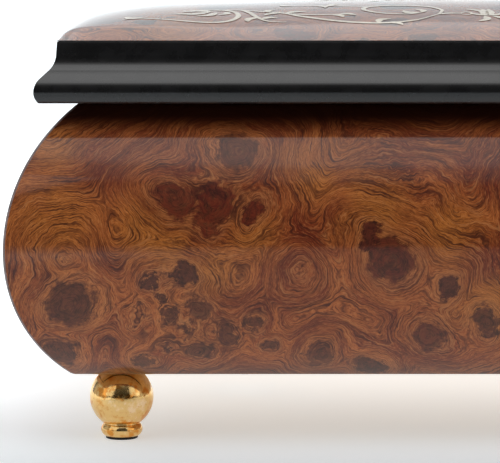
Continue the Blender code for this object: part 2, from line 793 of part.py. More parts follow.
def make_ring_roll(name, left, right, y, z, radius):
    """A foam roll in velvet, round with domed ends."""
    half = (right - left) / 2
    dome = radius * ROLL_DOME_SHARE
    quarter = arc((0.0, 0.0), 1.0, 0.0, math.radians(90), 4)
    end = [(radius * out, half - dome + dome * along) for along, out in quarter]
    profile = end + [(out, -along) for out, along in reversed(end)]
    roll = turned(name, profile, VELVET, steps=16)
    roll.rotation_euler = (0.0, math.radians(90), 0.0)
    roll.location = ((left + right) / 2, y, z)
    return roll


def make_cover():
    """The clear cover over the movement, on two ledges, with a finger hole to lift it by."""
    left = -INNER_X + GAP
    right = PARTITION_X - GAP
    front = -INNER_Y + GAP
    back = INNER_Y - GAP
    ledge_top = COVER_BOTTOM - GAP
    for name, low, high in (
        ("cover_ledge_front", front, front + COVER_LEDGE_SIZE),
        ("cover_ledge_back", back - COVER_LEDGE_SIZE, back),
    ):
        block(name, (left, low, ledge_top - COVER_LEDGE_SIZE), (right, high, ledge_top), PLYWOOD)
    top = COVER_BOTTOM + COVER_THICKNESS
    cover = block("movement_cover", (left, front, COVER_BOTTOM), (right, back, top), ACRYLIC)
    low = COVER_BOTTOM - CUT_MARGIN
    high = top + CUT_MARGIN
    finger_hole = drill(
        "finger_hole", MOVEMENT_X, -FINGER_HOLE_Y, FINGER_HOLE_RADIUS, low, high, 32
    )
    plunger_x, plunger_y = movement_point(*FAN_PLACE)
    plunger_hole = drill("plunger_hole", plunger_x, plunger_y, PLUNGER_RADIUS + GAP, low, high, 16)
    return cut(cover, finger_hole, plunger_hole)


def movement_point(x, y):
    """A place in the movement's frame as world X and Y. The movement is turned a quarter left."""
    return MOVEMENT_X - y, x


def gear_outline(teeth, pitch_radius, first_tooth=0.0):
    """Straight-sided teeth on a wheel, thinner than their spaces so that they run freely."""
    outline = []
    half_tooth = TOOTH_THICKNESS / 2 / pitch_radius
    for index in range(teeth):
        middle = first_tooth + 2 * math.pi * index / teeth
        root = pitch_radius - TOOTH_DEDENDUM
        tip = pitch_radius + TOOTH_ADDENDUM
        for radius, spread in ((root, -1.35), (tip, -0.55), (tip, 0.55), (root, 1.35)):
            angle = middle + spread * half_tooth
            outline.append((radius * math.cos(angle), radius * math.sin(angle)))
    return outline


def ring_line(x, y, radius, points=20):
    """A closed round line, for a hole in an outline."""
    return arc((x, y), radius, 0.0, 2 * math.pi * (points - 1) / points, points)


def lay_along_x(obj, x, y, z, parent):
    """Turns a piece that was built along Z to lie along the movement's X."""
    obj.rotation_euler = (0.0, math.radians(90), 0.0)
    obj.location = (x, y, z)
    obj.parent = parent
    return obj


def make_bedplate(movement):
    """The cast plate with its bosses, the comb's base and the bearing beside the barrel."""
    half_x = BEDPLATE_LENGTH / 2
    half_y = BEDPLATE_WIDTH / 2
    plate = block(
        "movement_bedplate", (-half_x, -half_y, BEDPLATE_BOTTOM), (half_x, half_y, BEDPLATE_TOP), ZINC
    )
    inside_plate = BEDPLATE_TOP - BEDPLATE_THICKNESS / 2
    low = -CUT_MARGIN
    high = BEDPLATE_TOP + CUT_MARGIN
    for index, (x, y) in enumerate(BOSS_PLACES):
        boss = rod(f"boss_{index}", BOSS_RADIUS, GAP, inside_plate, None, 20)
        boss.location = (x, y, 0.0)
        fuse(plate, boss, attached=True)
        hole = drill(f"boss_hole_{index}", x, y, MOUNT_SCREW_RADIUS + GAP, low, high, 16)
        cut(plate, hole, attached=True)
    base_top = CYLINDER_Z - COMB_THICKNESS / 2 - GAP
    base = block(
        "comb_base",
        (CYLINDER_FAR_X, COMB_BAR_Y + GAP, inside_plate),
        (CYLINDER_END_X, COMB_BAR_Y + COMB_BAR, base_top),
        None,
    )
    bearing_low = CYLINDER_END_X + RUNNING_GAP
    bearing = block(
        "barrel_side_bearing",
        (bearing_low, CYLINDER_Y - BEARING_HALF_WIDTH, inside_plate),
        (
            bearing_low + FRAME_THICKNESS,
            CYLINDER_Y + BEARING_HALF_WIDTH,
            CYLINDER_Z + BEARING_RISE,
        ),
        None,
    )
    fuse(plate, base, bearing, attached=True)
    bearing_hole = rod(
        "bearing_hole",
        CYLINDER_ARBOR_RADIUS + RUNNING_GAP,
        -CUT_MARGIN,
        FRAME_THICKNESS + CUT_MARGIN,
        None,
        20,
        CUTTERS,
    )
    bearing_hole.rotation_euler = (0.0, math.radians(90), 0.0)
    bearing_hole.location = (bearing_low, CYLINDER_Y, CYLINDER_Z)
    arbor_hole = drill("arbor_hole", BARREL_X, CYLINDER_Y, ARBOR_RADIUS + RUNNING_GAP, low, high)
    fan_hole = drill("fan_hole", *FAN_PLACE, FAN_SHAFT_RADIUS + RUNNING_GAP, low, high, 12)
    cut(plate, bearing_hole, arbor_hole, fan_hole, attached=True)
    for index, (x, y) in enumerate(comb_screw_places()):
        hole = drill(
            f"comb_screw_hole_{index}",
            x,
            y,
            COMB_SHANK_RADIUS + GAP,
            base_top - COMB_SHANK_LENGTH - CUT_MARGIN,
            base_top + CUT_MARGIN,
            12,
        )
        cut(plate, hole, attached=True)
    plate.parent = movement
    return plate


def make_barrel(movement):
    """The spring barrel, a cup that opens downwards, with crown teeth round its top."""
    bore = ARBOR_RADIUS + RUNNING_GAP
    inside = BARREL_RADIUS - BARREL_WALL
    under_top = BARREL_TOP - BARREL_WALL
    profile = [
        (bore, BARREL_TOP),
        (BARREL_RADIUS, BARREL_TOP),
        (BARREL_RADIUS, BARREL_BOTTOM),
        (inside, BARREL_BOTTOM),
        (inside, under_top),
        (bore, under_top),
    ]
    barrel = turned("spring_barrel", profile, BRASS, CROWN_TEETH, smooth=False, ring=True)
    bm = bmesh.new()
    height = TOOTH_DEDENDUM + TOOTH_ADDENDUM
    sunk = BARREL_WALL / 2
    for index in range(CROWN_TEETH):
        turn = Matrix.Rotation(math.pi + 2 * math.pi * (index + 0.5) / CROWN_TEETH, 4, "Z")
        tooth = bmesh.ops.create_cube(bm, size=1.0)["verts"]
        for vert in tooth:
            x, y, z = vert.co
            width = TOOTH_THICKNESS * (1.35 if z < 0 else 0.55)
            radius = CROWN_PITCH_RADIUS + x * (CROWN_FACE - GAP)
            level = BARREL_TOP + (height if z > 0 else -sunk)
            vert.co = (radius, y * width, level)
        bmesh.ops.transform(bm, matrix=turn, verts=tooth)
    teeth = object_from("crown_teeth", bm, None)
    fuse(barrel, teeth, attached=True)
    barrel.location = (BARREL_X, CYLINDER_Y, 0.0)
    barrel.parent = movement
    return barrel


def make_mainspring(movement):
    """The spring, a flat strip coiled from the arbor out to the barrel's wall."""
    inner = ARBOR_RADIUS + RUNNING_GAP + SPRING_THICKNESS
    outer = BARREL_RADIUS - BARREL_WALL - RUNNING_GAP - SPRING_THICKNESS
    steps = 16 * SPRING_TURNS
    low = BARREL_BOTTOM + RUNNING_GAP
    high = BARREL_TOP - BARREL_WALL - RUNNING_GAP
    bm = bmesh.new()
    previous = None
    for index in range(steps + 1):
        angle = 2 * math.pi * SPRING_TURNS * index / steps
        radius = inner + (outer - inner) * index / steps
        x = radius * math.cos(angle)
        y = radius * math.sin(angle)
        if previous is None:
            foot = bm.verts.new((x, y, low))
            head = bm.verts.new((x, y, high))
            previous = [bm.edges.new((foot, head))]
            continue
        swept = bmesh.ops.extrude_edge_only(bm, edges=previous)["geom"]
        verts = [item for item in swept if isinstance(item, bmesh.types.BMVert)]
        for vert in verts:
            vert.co.x = x
            vert.co.y = y
        previous = [
            edge
            for edge in swept
            if isinstance(edge, bmesh.types.BMEdge) and all(vert in verts for vert in edge.verts)
        ]
    spring = object_from("mainspring", bm, STEEL)
    thickness = spring.modifiers.new("strip_thickness", "SOLIDIFY")
    thickness.thickness = SPRING_THICKNESS
    thickness.offset = 0.0
    spring.location = (BARREL_X, CYLINDER_Y, 0.0)
    spring.parent = movement
    return spring


def make_winding(movement):
    """The winding arbor through the bottom board, and the butterfly key under it."""
    underside = -BOTTOM_THICKNESS
    hub_top = underside - 2 * GAP
    hub_bottom = underside - KEY_DROP * KEY_HUB_SHARE
    arbor_end = hub_bottom + JOIN_OVERLAP
    arbor = rod("winding_arbor", ARBOR_RADIUS, arbor_end, BARREL_TOP + RUNNING_GAP, STEEL, 20)
    hub = turned(
        "winding_key",
        [(0.0, hub_top), (KEY_HUB_RADIUS, hub_top), (KEY_HUB_RADIUS, hub_bottom), (0.0, hub_bottom)],
        STEEL,
        24,
        smooth=False,
    )
    wing = KEY_DROP * KEY_WING_SHARE
    wing_x = KEY_WIDTH / 2 - wing
    wing_z = underside - KEY_DROP + wing
    waist = KEY_BLADE_THICKNESS
    outline = arc((wing_x, wing_z), wing, math.radians(-150), math.radians(120), 12)
    outline += [(waist, hub_bottom + JOIN_OVERLAP), (-waist, hub_bottom + JOIN_OVERLAP)]
    outline += arc((-wing_x, wing_z), wing, math.radians(60), math.radians(330), 12)
    eyes = [ring_line(side * wing_x, wing_z, wing * KEY_EYE_SHARE, 12) for side in (-1, 1)]
    blade = extruded("key_blade", outline, KEY_BLADE_THICKNESS, None, holes=eyes)
    blade.rotation_euler = (math.radians(90), 0.0, 0.0)
    socket = rod(
        "key_socket", ARBOR_RADIUS + GAP, arbor_end - GAP, hub_top + CUT_MARGIN, None, 20, CUTTERS
    )
    fuse(hub, blade, attached=True)
    cut(hub, socket, attached=True)
    for piece in (arbor, hub):
        piece.location = (BARREL_X, CYLINDER_Y, 0.0)
        piece.parent = movement
    return arbor, hub


def make_cylinder(movement):
    """The pinned cylinder, its arbor with the pinion on the crown teeth, and its wheel."""
    half = CYLINDER_LENGTH / 2
    bore = CYLINDER_ARBOR_RADIUS + GAP
    profile = [(bore, half), (CYLINDER_RADIUS, half), (CYLINDER_RADIUS, -half), (bore, -half)]
    cylinder = turned("pinned_cylinder", profile, BRASS, 40, smooth=False, ring=True)
    bm = bmesh.new()
    for note in range(NOTES):
        for beat in range(PINS_PER_NOTE):
            share = 0.618 * note + (beat + 0.11 * (note * beat % 5)) / PINS_PER_NOTE
            turn = Matrix.Rotation(2 * math.pi * share, 4, "Z")
            place = Matrix.Translation((CYLINDER_RADIUS + (PIN_HEIGHT - PIN_SUNK) / 2, 0.0, note_offset(note)))
            lean = Matrix.Rotation(math.radians(90), 4, "Y")
            bmesh.ops.create_cone(
                bm,
                cap_ends=True,
                segments=5,
                radius1=PIN_RADIUS,
                radius2=PIN_RADIUS * 0.8,
                depth=PIN_HEIGHT + PIN_SUNK,
                matrix=turn @ place @ lean,
            )
    fuse(cylinder, object_from("cylinder_pins", bm, None), attached=True)
    lay_along_x(cylinder, (CYLINDER_END_X + CYLINDER_FAR_X) / 2, CYLINDER_Y, CYLINDER_Z, movement)

    pinion_x = BARREL_X - CROWN_PITCH_RADIUS
    far_end = FRAME_X - FRAME_THICKNESS / 2 - RUNNING_GAP
    near_end = pinion_x + CROWN_FACE / 2 + RUNNING_GAP
    arbor = rod(
        "cylinder_arbor", CYLINDER_ARBOR_RADIUS, far_end - pinion_x, near_end - pinion_x, STEEL, 20
    )
    pinion = extruded(
        "arbor_pinion", gear_outline(PINION_TEETH, PINION_PITCH_RADIUS), CROWN_FACE - 2 * GAP, None
    )
    fuse(arbor, pinion, attached=True)
    lay_along_x(arbor, pinion_x, CYLINDER_Y, CYLINDER_Z, movement)

    wheel = extruded(
        "cylinder_wheel",
        gear_outline(WHEEL_TEETH, WHEEL_RADIUS, mesh_angle()),
        WHEEL_THICKNESS,
        BRASS,
        holes=[ring_line(0.0, 0.0, bore)],
    )
    lay_along_x(wheel, WHEEL_X, CYLINDER_Y, CYLINDER_Z, movement)
    return cylinder, arbor, wheel


def note_offset(note):
    """Where a note's track lies along the cylinder, from its middle."""
    return NOTE_PITCH * (note - (NOTES - 1) / 2)


def mesh_angle():
    """The direction from the cylinder's axis to the governor's, seen along the wheel's own Z."""
    return math.atan2(GOVERNOR_Y - CYLINDER_Y, CYLINDER_Z - GOVERNOR_Z)


def comb_screw_places():
    middle = (CYLINDER_END_X + CYLINDER_FAR_X) / 2
    offset = CYLINDER_LENGTH * 0.28
    y = COMB_BAR_Y + COMB_BAR / 2
    return [(middle - offset, y), (middle + offset, y)]


def make_comb(movement):
    """The steel comb. Its teeth get shorter towards the high notes, and stop just off the pins."""
    middle = (CYLINDER_END_X + CYLINDER_FAR_X) / 2
    back = COMB_BAR_Y + COMB_BAR
    left = middle - CYLINDER_LENGTH / 2
    right = middle + CYLINDER_LENGTH / 2
    half_tooth = (NOTE_PITCH - COMB_SLOT) / 2
    outline = [(right, back), (left, back)]
    shorten = (LONGEST_TOOTH - SHORTEST_TOOTH) / (NOTES - 1)
    outline.append((left, COMB_BAR_Y - shorten))
    for note in range(NOTES):
        x = middle + note_offset(note)
        root = COMB_BAR_Y - shorten * note
        outline += [
            (x - half_tooth, root),
            (x - half_tooth, COMB_TIP_Y),
            (x + half_tooth, COMB_TIP_Y),
            (x + half_tooth, root),
        ]
    outline.append((right, COMB_BAR_Y - shorten * (NOTES - 1)))
    holes = [ring_line(x, y, COMB_SHANK_RADIUS + GAP, 12) for x, y in comb_screw_places()]
    comb = extruded("music_comb", outline, COMB_THICKNESS, STEEL, holes=holes)
    comb.location = (0.0, 0.0, CYLINDER_Z)
    comb.parent = movement
    head_bottom = CYLINDER_Z + COMB_THICKNESS / 2 + GAP
    head_top = head_bottom + COMB_HEAD_HEIGHT
    tip = CYLINDER_Z - COMB_THICKNESS / 2 - COMB_SHANK_LENGTH
    for index, (x, y) in enumerate(comb_screw_places()):
        profile = [
            (0.0, head_top),
            (COMB_SCREW_RADIUS - COMB_HEAD_CHAMFER, head_top),
            (COMB_SCREW_RADIUS, head_top - COMB_HEAD_CHAMFER),
            (COMB_SCREW_RADIUS, head_bottom),
            (COMB_SHANK_RADIUS, head_bottom),
            (COMB_SHANK_RADIUS, tip),
            (0.0, tip),
        ]
        screw = turned(f"comb_screw_{index + 1}", profile, STEEL, 16)
        screw.location = (x, y, 0.0)
        screw.parent = movement
    return comb


def make_governor(movement):
    """The bearing frame, the wheel between cylinder and fan, and the upright fan shaft."""
    foot = BEDPLATE_TOP + GAP
    frame_low = FRAME_X - FRAME_THICKNESS / 2
    frame_high = FRAME_X + FRAME_THICKNESS / 2
    frame = block(
        "governor_frame",
        (frame_low, FAN_Y - FRAME_ARM_HALF_WIDTH, foot),
        (frame_high, CYLINDER_Y + FRAME_SIDE, CYLINDER_Z + BEARING_RISE),
        BRASS,
    )
    arm = block(
        "governor_arm",
        (WORM_WHEEL_X - FRAME_ARM_REACH, FAN_Y - FRAME_ARM_HALF_WIDTH, FRAME_ARM_BOTTOM),
        (FRAME_X, FAN_Y + FRAME_ARM_HALF_WIDTH, FRAME_ARM_BOTTOM + FRAME_THICKNESS),
        None,
    )
    flange = block(
        "governor_flange",
        (FRAME_X, CYLINDER_Y - FRAME_SIDE, foot),
        (frame_high + FRAME_SIDE, CYLINDER_Y + FRAME_SIDE, foot + FRAME_THICKNESS / 2),
        None,
    )
    fuse(frame, arm, flange, attached=True)
    for label, y, z, radius in (
        ("cylinder_bearing", CYLINDER_Y, CYLINDER_Z, CYLINDER_ARBOR_RADIUS),
        ("governor_bearing", GOVERNOR_Y, GOVERNOR_Z, GOVERNOR_ARBOR_RADIUS),
    ):
        hole = rod(
            label, radius + RUNNING_GAP, -FRAME_THICKNESS, FRAME_THICKNESS, None, 16, CUTTERS
        )
        hole.rotation_euler = (0.0, math.radians(90), 0.0)
        hole.location = (FRAME_X, y, z)
        cut(frame, hole, attached=True)
    fan_bearing = drill(
        "fan_bearing",
        *FAN_PLACE,
        FAN_SHAFT_RADIUS + RUNNING_GAP,
        FRAME_ARM_BOTTOM - CUT_MARGIN,
        FAN_BOTTOM + CUT_MARGIN,
        12,
    )
    cut(frame, fan_bearing, attached=True)
    frame.parent = movement

    near_end = WHEEL_X + WHEEL_THICKNESS / 2
    far_end = WORM_WHEEL_X - WHEEL_THICKNESS / 2 - GAP
    wheel = rod("governor_wheel", GOVERNOR_ARBOR_RADIUS, far_end - WHEEL_X, near_end - WHEEL_X, STEEL, 16)
    half_pitch = math.pi / TRAIN_PINION_TEETH
    pinion = extruded(
        "train_pinion",
        gear_outline(TRAIN_PINION_TEETH, TRAIN_PINION_RADIUS, mesh_angle() + math.pi + half_pitch),
        WHEEL_THICKNESS + GAP,
        None,
    )
    worm_wheel = extruded(
        "worm_wheel", gear_outline(WORM_WHEEL_TEETH, WORM_WHEEL_RADIUS), WHEEL_THICKNESS, None
    )
    worm_wheel.location = (0.0, 0.0, WORM_WHEEL_X - WHEEL_X)
    fuse(wheel, pinion, worm_wheel, attached=True)
    lay_along_x(wheel, WHEEL_X, GOVERNOR_Y, GOVERNOR_Z, movement)

    shaft_foot = BEDPLATE_TOP - BEDPLATE_THICKNESS / 2
    worm_low = foot + 2 * RUNNING_GAP
    worm_high = FRAME_ARM_BOTTOM - RUNNING_GAP
    profile = [
        (0.0, FAN_TOP),
        (FAN_SHAFT_RADIUS * 1.6, FAN_TOP),
        (FAN_SHAFT_RADIUS * 1.6, FAN_BOTTOM),
        (FAN_SHAFT_RADIUS, FAN_BOTTOM),
        (FAN_SHAFT_RADIUS, worm_high),
        (WORM_RADIUS, worm_high),
        (WORM_RADIUS, worm_low),
        (FAN_SHAFT_RADIUS, worm_low),
        (FAN_SHAFT_RADIUS, shaft_foot),
        (0.0, shaft_foot),
    ]
    fan = turned("governor_fan", profile, BLACK_PLASTIC, 16, smooth=False)
    blades = block(
        "fan_blades",
        (-FAN_RADIUS, -FAN_BLADE_THICKNESS / 2, FAN_BOTTOM + GAP),
        (FAN_RADIUS, FAN_BLADE_THICKNESS / 2, FAN_BOTTOM + FAN_HEIGHT),
        None,
    )
    fuse(fan, blades, attached=True)
    fan.location = (*FAN_PLACE, 0.0)
    fan.parent = movement
    return frame, wheel, fan


def lining_drop(x, y):
    """How far the padded lid lining hangs down at a place, both shares of its half sizes."""
    swell = (1 - x**4) * (1 - y**4)
    return LID_LINING_THICKNESS * (LID_LINING_EDGE_SHARE + (1 - LID_LINING_EDGE_SHARE) * swell)


def make_plunger():
    """The stop plunger: the closed lid holds it down on the fan's shaft, and it rises with the lid."""
    x, y = movement_point(*FAN_PLACE)
    foot = FLOOR + FAN_TOP + GAP
    lining = LID_EDGE_TOP - CROWN_PLUG_DEPTH - lining_drop(x / INNER_X, y / INNER_Y)
    top = lining - 2 * GAP
    collar_top = COVER_BOTTOM - PLUNGER_TRAVEL - GAP
    collar_bottom = collar_top - PLUNGER_RADIUS
    profile = [
        (0.0, top),
        (PLUNGER_RADIUS * 0.6, top),
        (PLUNGER_RADIUS, top - PLUNGER_RADIUS * 0.4),
        (PLUNGER_RADIUS, collar_top),
        (PLUNGER_COLLAR_RADIUS, collar_top),
        (PLUNGER_COLLAR_RADIUS, collar_bottom),
        (PLUNGER_RADIUS, collar_bottom),
        (PLUNGER_RADIUS, foot),
        (0.0, foot),
    ]
    plunger = turned("stop_plunger", profile, STEEL, 16, smooth=False)
    plunger.location = (x, y, 0.0)
    return plunger


def make_mount_screws():
    """Three screws up through the bottom board into the bedplate's bosses."""
    head_top = BODY_BOTTOM - GAP
    head_bottom = head_top - MOUNT_HEAD_HEIGHT
    tip = FLOOR + BEDPLATE_BOTTOM
    for index, place in enumerate(BOSS_PLACES):
        profile = [
            (0.0, tip),
            (MOUNT_SCREW_RADIUS, tip),
            (MOUNT_SCREW_RADIUS, head_top),
            (MOUNT_HEAD_RADIUS, head_top),
            (MOUNT_HEAD_RADIUS, head_bottom + MOUNT_HEAD_HEIGHT / 2),
            (MOUNT_HEAD_RADIUS * 0.7, head_bottom),
            (0.0, head_bottom),
        ]
        screw = turned(f"mount_screw_{index + 1}", profile, STEEL, 16)
        screw.location = (*movement_point(*place), 0.0)


def make_movement():
    movement = pivot("movement", (MOVEMENT_X, 0.0, FLOOR))
    movement.rotation_euler = (0.0, 0.0, math.radians(90))
    make_bedplate(movement)
    make_barrel(movement)
    make_mainspring(movement)
    make_winding(movement)
    make_cylinder(movement)
    make_comb(movement)
    make_governor(movement)
    make_plunger()
    make_mount_screws()


def hang_on_hinge(pieces):
    """Parents what swings with the lid to an empty on the hinge line, where it already lies."""
    hinge_line = pivot("lid_hinge_line", (0.0, HINGE_Y, HINGE_Z))
    bpy.context.view_layer.update()
    for piece in pieces:
        piece.parent = hinge_line
        piece.matrix_parent_inverse = hinge_line.matrix_world.inverted()


def main():
    walls = make_walls()
    make_feet()
    make_bottom()
    lid = make_lid()
    make_hinges(walls, lid)
    make_compartments()
    make_cover()
    make_movement()
    leaves = [obj for obj in PARTS.objects if obj.name.endswith("lid_leaf")]
    hang_on_hinge([*lid.values(), *leaves])


if __name__ == "__main__":
    main()
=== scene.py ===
"""Looks of the musical jewelry box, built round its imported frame.

Laid out as a Blender add-on: settings hold the sizes and colours, each operator builds one piece or
one group of like pieces, and a panel lists them. Run as a script, it builds the whole object.
"""

import math

import bmesh
import bpy
from bpy.props import FloatProperty, FloatVectorProperty, PointerProperty
from mathutils import Matrix, Vector


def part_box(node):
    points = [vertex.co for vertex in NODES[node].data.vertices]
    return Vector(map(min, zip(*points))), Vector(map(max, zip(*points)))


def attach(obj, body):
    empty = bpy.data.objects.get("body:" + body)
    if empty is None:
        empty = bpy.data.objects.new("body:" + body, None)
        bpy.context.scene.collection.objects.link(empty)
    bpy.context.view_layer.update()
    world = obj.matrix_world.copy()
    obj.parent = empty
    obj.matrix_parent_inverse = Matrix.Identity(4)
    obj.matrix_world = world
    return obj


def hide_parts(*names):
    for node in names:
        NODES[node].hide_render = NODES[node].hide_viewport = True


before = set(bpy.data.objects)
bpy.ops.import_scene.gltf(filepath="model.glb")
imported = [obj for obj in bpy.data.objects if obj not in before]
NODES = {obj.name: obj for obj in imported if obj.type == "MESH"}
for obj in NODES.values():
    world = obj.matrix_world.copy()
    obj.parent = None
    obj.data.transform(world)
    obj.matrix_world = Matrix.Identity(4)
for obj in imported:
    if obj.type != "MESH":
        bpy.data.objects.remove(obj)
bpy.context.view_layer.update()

bl_info = {
    "name": "Musical Jewelry Box",
    "version": (1, 0, 0),
    "blender": (4, 5, 0),
    "location": "View3D > Sidebar > Jewelry Box",
    "description": "Builds the looks of a bombe musical jewelry box round its frame",
    "category": "Object",
}

# Sizes read from the frame
FRONT_LOW, FRONT_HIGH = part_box("front_panel")
EDGE_LOW, EDGE_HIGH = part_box("lid_moulding_front")
HALF_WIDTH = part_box("right_panel")[1].x
HALF_DEPTH = -FRONT_LOW.y
BODY_BOTTOM = FRONT_LOW.z
BODY_TOP = FRONT_HIGH.z
INNER_INSET = HALF_DEPTH + FRONT_HIGH.y
LID_BOTTOM = EDGE_LOW.z
LID_EDGE_TOP = EDGE_HIGH.z
REAR_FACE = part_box("lid_moulding_back")[1].y
CROWN_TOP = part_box("lid_crown")[1].z

# The case's curve and rebate, as the frame has them, and the scene's own rounding of its lower edge
BULGE_HEIGHT = 0.0410
BODY_INSET_TOP = 0.0144
BODY_INSET_BOTTOM = 0.0130
REBATE_INSET = 0.0162
REBATE_HEIGHT = 0.0043
BODY_EDGE_RADIUS = 0.0020
BODY_RIM_CHAMFER = 0.0004

# The lid's moulding and the arch of its dome, as the frame has them, and the scene's own rounding of the
# moulding's top edge
BEAD_INSET = 0.00595
BEAD_RISE = 0.0022
BEAD_UNDERCUT = 0.00095
BEAD_SHOULDER_RISE = 0.0026
BEAD_SHOULDER = 0.0010
COVE_RADIUS = 0.0047
COVE_ANGLE = math.radians(50)
FASCIA_HEIGHT = 0.0025
FASCIA_DRAFT = 0.0002
CROWN_INSET = 0.0105
REAR_LEDGE = 0.0045
CROWN_LONG_POWER = 3.0
CROWN_LONG_ROOT = 2.1
CROWN_SHORT_POWER = 2.2
CROWN_SHORT_ROOT = 1.0
FASCIA_CHAMFER = 0.0002

UPPER_RADIUS = ((BODY_TOP - BULGE_HEIGHT) ** 2 + BODY_INSET_TOP**2) / (2 * BODY_INSET_TOP)
LOWER_RADIUS = ((BULGE_HEIGHT - BODY_BOTTOM) ** 2 + BODY_INSET_BOTTOM**2) / (2 * BODY_INSET_BOTTOM)


class Graph:
    """Adds and links the nodes of one material, or of the room's light."""

    def __init__(self, name, room=False):
        self.material = (bpy.data.worlds if room else bpy.data.materials).new(name)
        self.material.use_nodes = True
        self.tree = self.material.node_tree
        self.shader = self.tree.nodes["Background" if room else "Principled BSDF"]
        self.count = 0

    def add(self, kind, **settings):
        node = self.tree.nodes.new(kind)
        self.count += 1
        node.location = (-220 - 180 * (self.count // 8), 300 - 160 * (self.count % 8))
        for name, value in settings.items():
            setattr(node, name, value)
        return node

    def feed(self, socket, value):
        if isinstance(value, bpy.types.NodeSocket):
            self.tree.links.new(value, socket)
        elif socket.type == "RGBA" and len(value) == 3:
            socket.default_value = (*value, 1.0)
        else:
            socket.default_value = value

    def math(self, operation, first, second=0.0, third=0.0):
        node = self.add("ShaderNodeMath", operation=operation)
        for socket, value in zip(node.inputs, (first, second, third)):
            self.feed(socket, value)
        return node.outputs[0]

    def vector(self, operation, first, second=(0.0, 0.0, 0.0), scale=1.0):
        node = self.add("ShaderNodeVectorMath", operation=operation)
        self.feed(node.inputs[0], first)
        self.feed(node.inputs[1], second)
        if operation == "SCALE":
            self.feed(node.inputs["Scale"], scale)
        single = operation in ("DISTANCE", "LENGTH", "DOT_PRODUCT")
        return node.outputs["Value" if single else "Vector"]

    def noise(self, place, scale, detail=2.0, roughness=0.5, colour=False):
        node = self.add("ShaderNodeTexNoise")
        self.feed(node.inputs["Vector"], place)
        node.inputs["Scale"].default_value = scale
        node.inputs["Detail"].default_value = detail
        node.inputs["Roughness"].default_value = roughness
        return node.outputs["Color" if colour else "Fac"]

    def span(self, value, low, high, out_low=0.0, out_high=1.0, smooth=True):
        """Maps low..high to out_low..out_high, clamped, with soft ends."""
        node = self.add("ShaderNodeMapRange")
        node.interpolation_type = "SMOOTHSTEP" if smooth else "LINEAR"
        for name, item in zip(
            ("Value", "From Min", "From Max", "To Min", "To Max"),
            (value, low, high, out_low, out_high),
        ):
            self.feed(node.inputs[name], item)
        return node.outputs["Result"]

    def steps(self, value, stops):
        """Runs a value through a curve of (place, level) stops."""
        node = self.add("ShaderNodeValToRGB")
        self.feed(node.inputs["Fac"], value)
        ramp = node.color_ramp
        ramp.interpolation = "EASE"
        while len(ramp.elements) < len(stops):
            ramp.elements.new(0.5)
        for element, (place, level) in zip(ramp.elements, stops):
            element.position = place
            element.color = (level, level, level, 1.0)
        return node.outputs["Color"]

    def mix(self, share, first, second):
        """Mixes two colours."""
        node = self.add("ShaderNodeMix", data_type="RGBA")
        self.feed(node.inputs["Factor"], share)
        self.feed(node.inputs[6], first)
        self.feed(node.inputs[7], second)
        return node.outputs[2]

    def blend(self, share, first, second):
        """Mixes two single values."""
        node = self.add("ShaderNodeMix", data_type="FLOAT")
        for index, value in ((0, share), (2, first), (3, second)):
            self.feed(node.inputs[index], value)
        return node.outputs[0]

    def strand(self, place, across, along_scale, across_scale, detail):
        """Noise stretched along the lines of equal across."""
        split = self.add("ShaderNodeSeparateXYZ")
        self.feed(split.inputs[0], place)
        join = self.add("ShaderNodeCombineXYZ")
        self.feed(join.inputs[0], self.math("MULTIPLY", split.outputs["X"], along_scale))
        self.feed(join.inputs[1], self.math("MULTIPLY", split.outputs["Y"], along_scale))
        self.feed(join.inputs[2], self.math("MULTIPLY", across, across_scale))
        return self.noise(join.outputs[0], 1.0, detail, 0.6)

    def uv(self):
        return self.add("ShaderNodeUVMap", uv_map="veneer").outputs["UV"]

    def place(self):
        return self.add("ShaderNodeTexCoord").outputs["Object"]

    def bump(self, height, distance, strength):
        node = self.add("ShaderNodeBump")
        node.inputs["Distance"].default_value = distance
        node.inputs["Strength"].default_value = strength
        self.feed(node.inputs["Height"], height)
        return node.outputs["Normal"]

    def set(self, **values):
        names = {
            "colour": "Base Color", "roughness": "Roughness", "metallic": "Metallic",
            "coat": "Coat Weight", "coat_roughness": "Coat Roughness", "coat_ior": "Coat IOR",
            "sheen": "Sheen Weight", "sheen_roughness": "Sheen Roughness", "sheen_tint": "Sheen Tint",
            "specular": "Specular IOR Level", "ior": "IOR", "normal": "Normal",
            "glow": "Emission Strength", "glow_colour": "Emission Color",
            "coat_normal": "Coat Normal", "transmission": "Transmission Weight",
        }
        for name, value in values.items():
            self.feed(self.shader.inputs[names[name]], value)
        return self.material


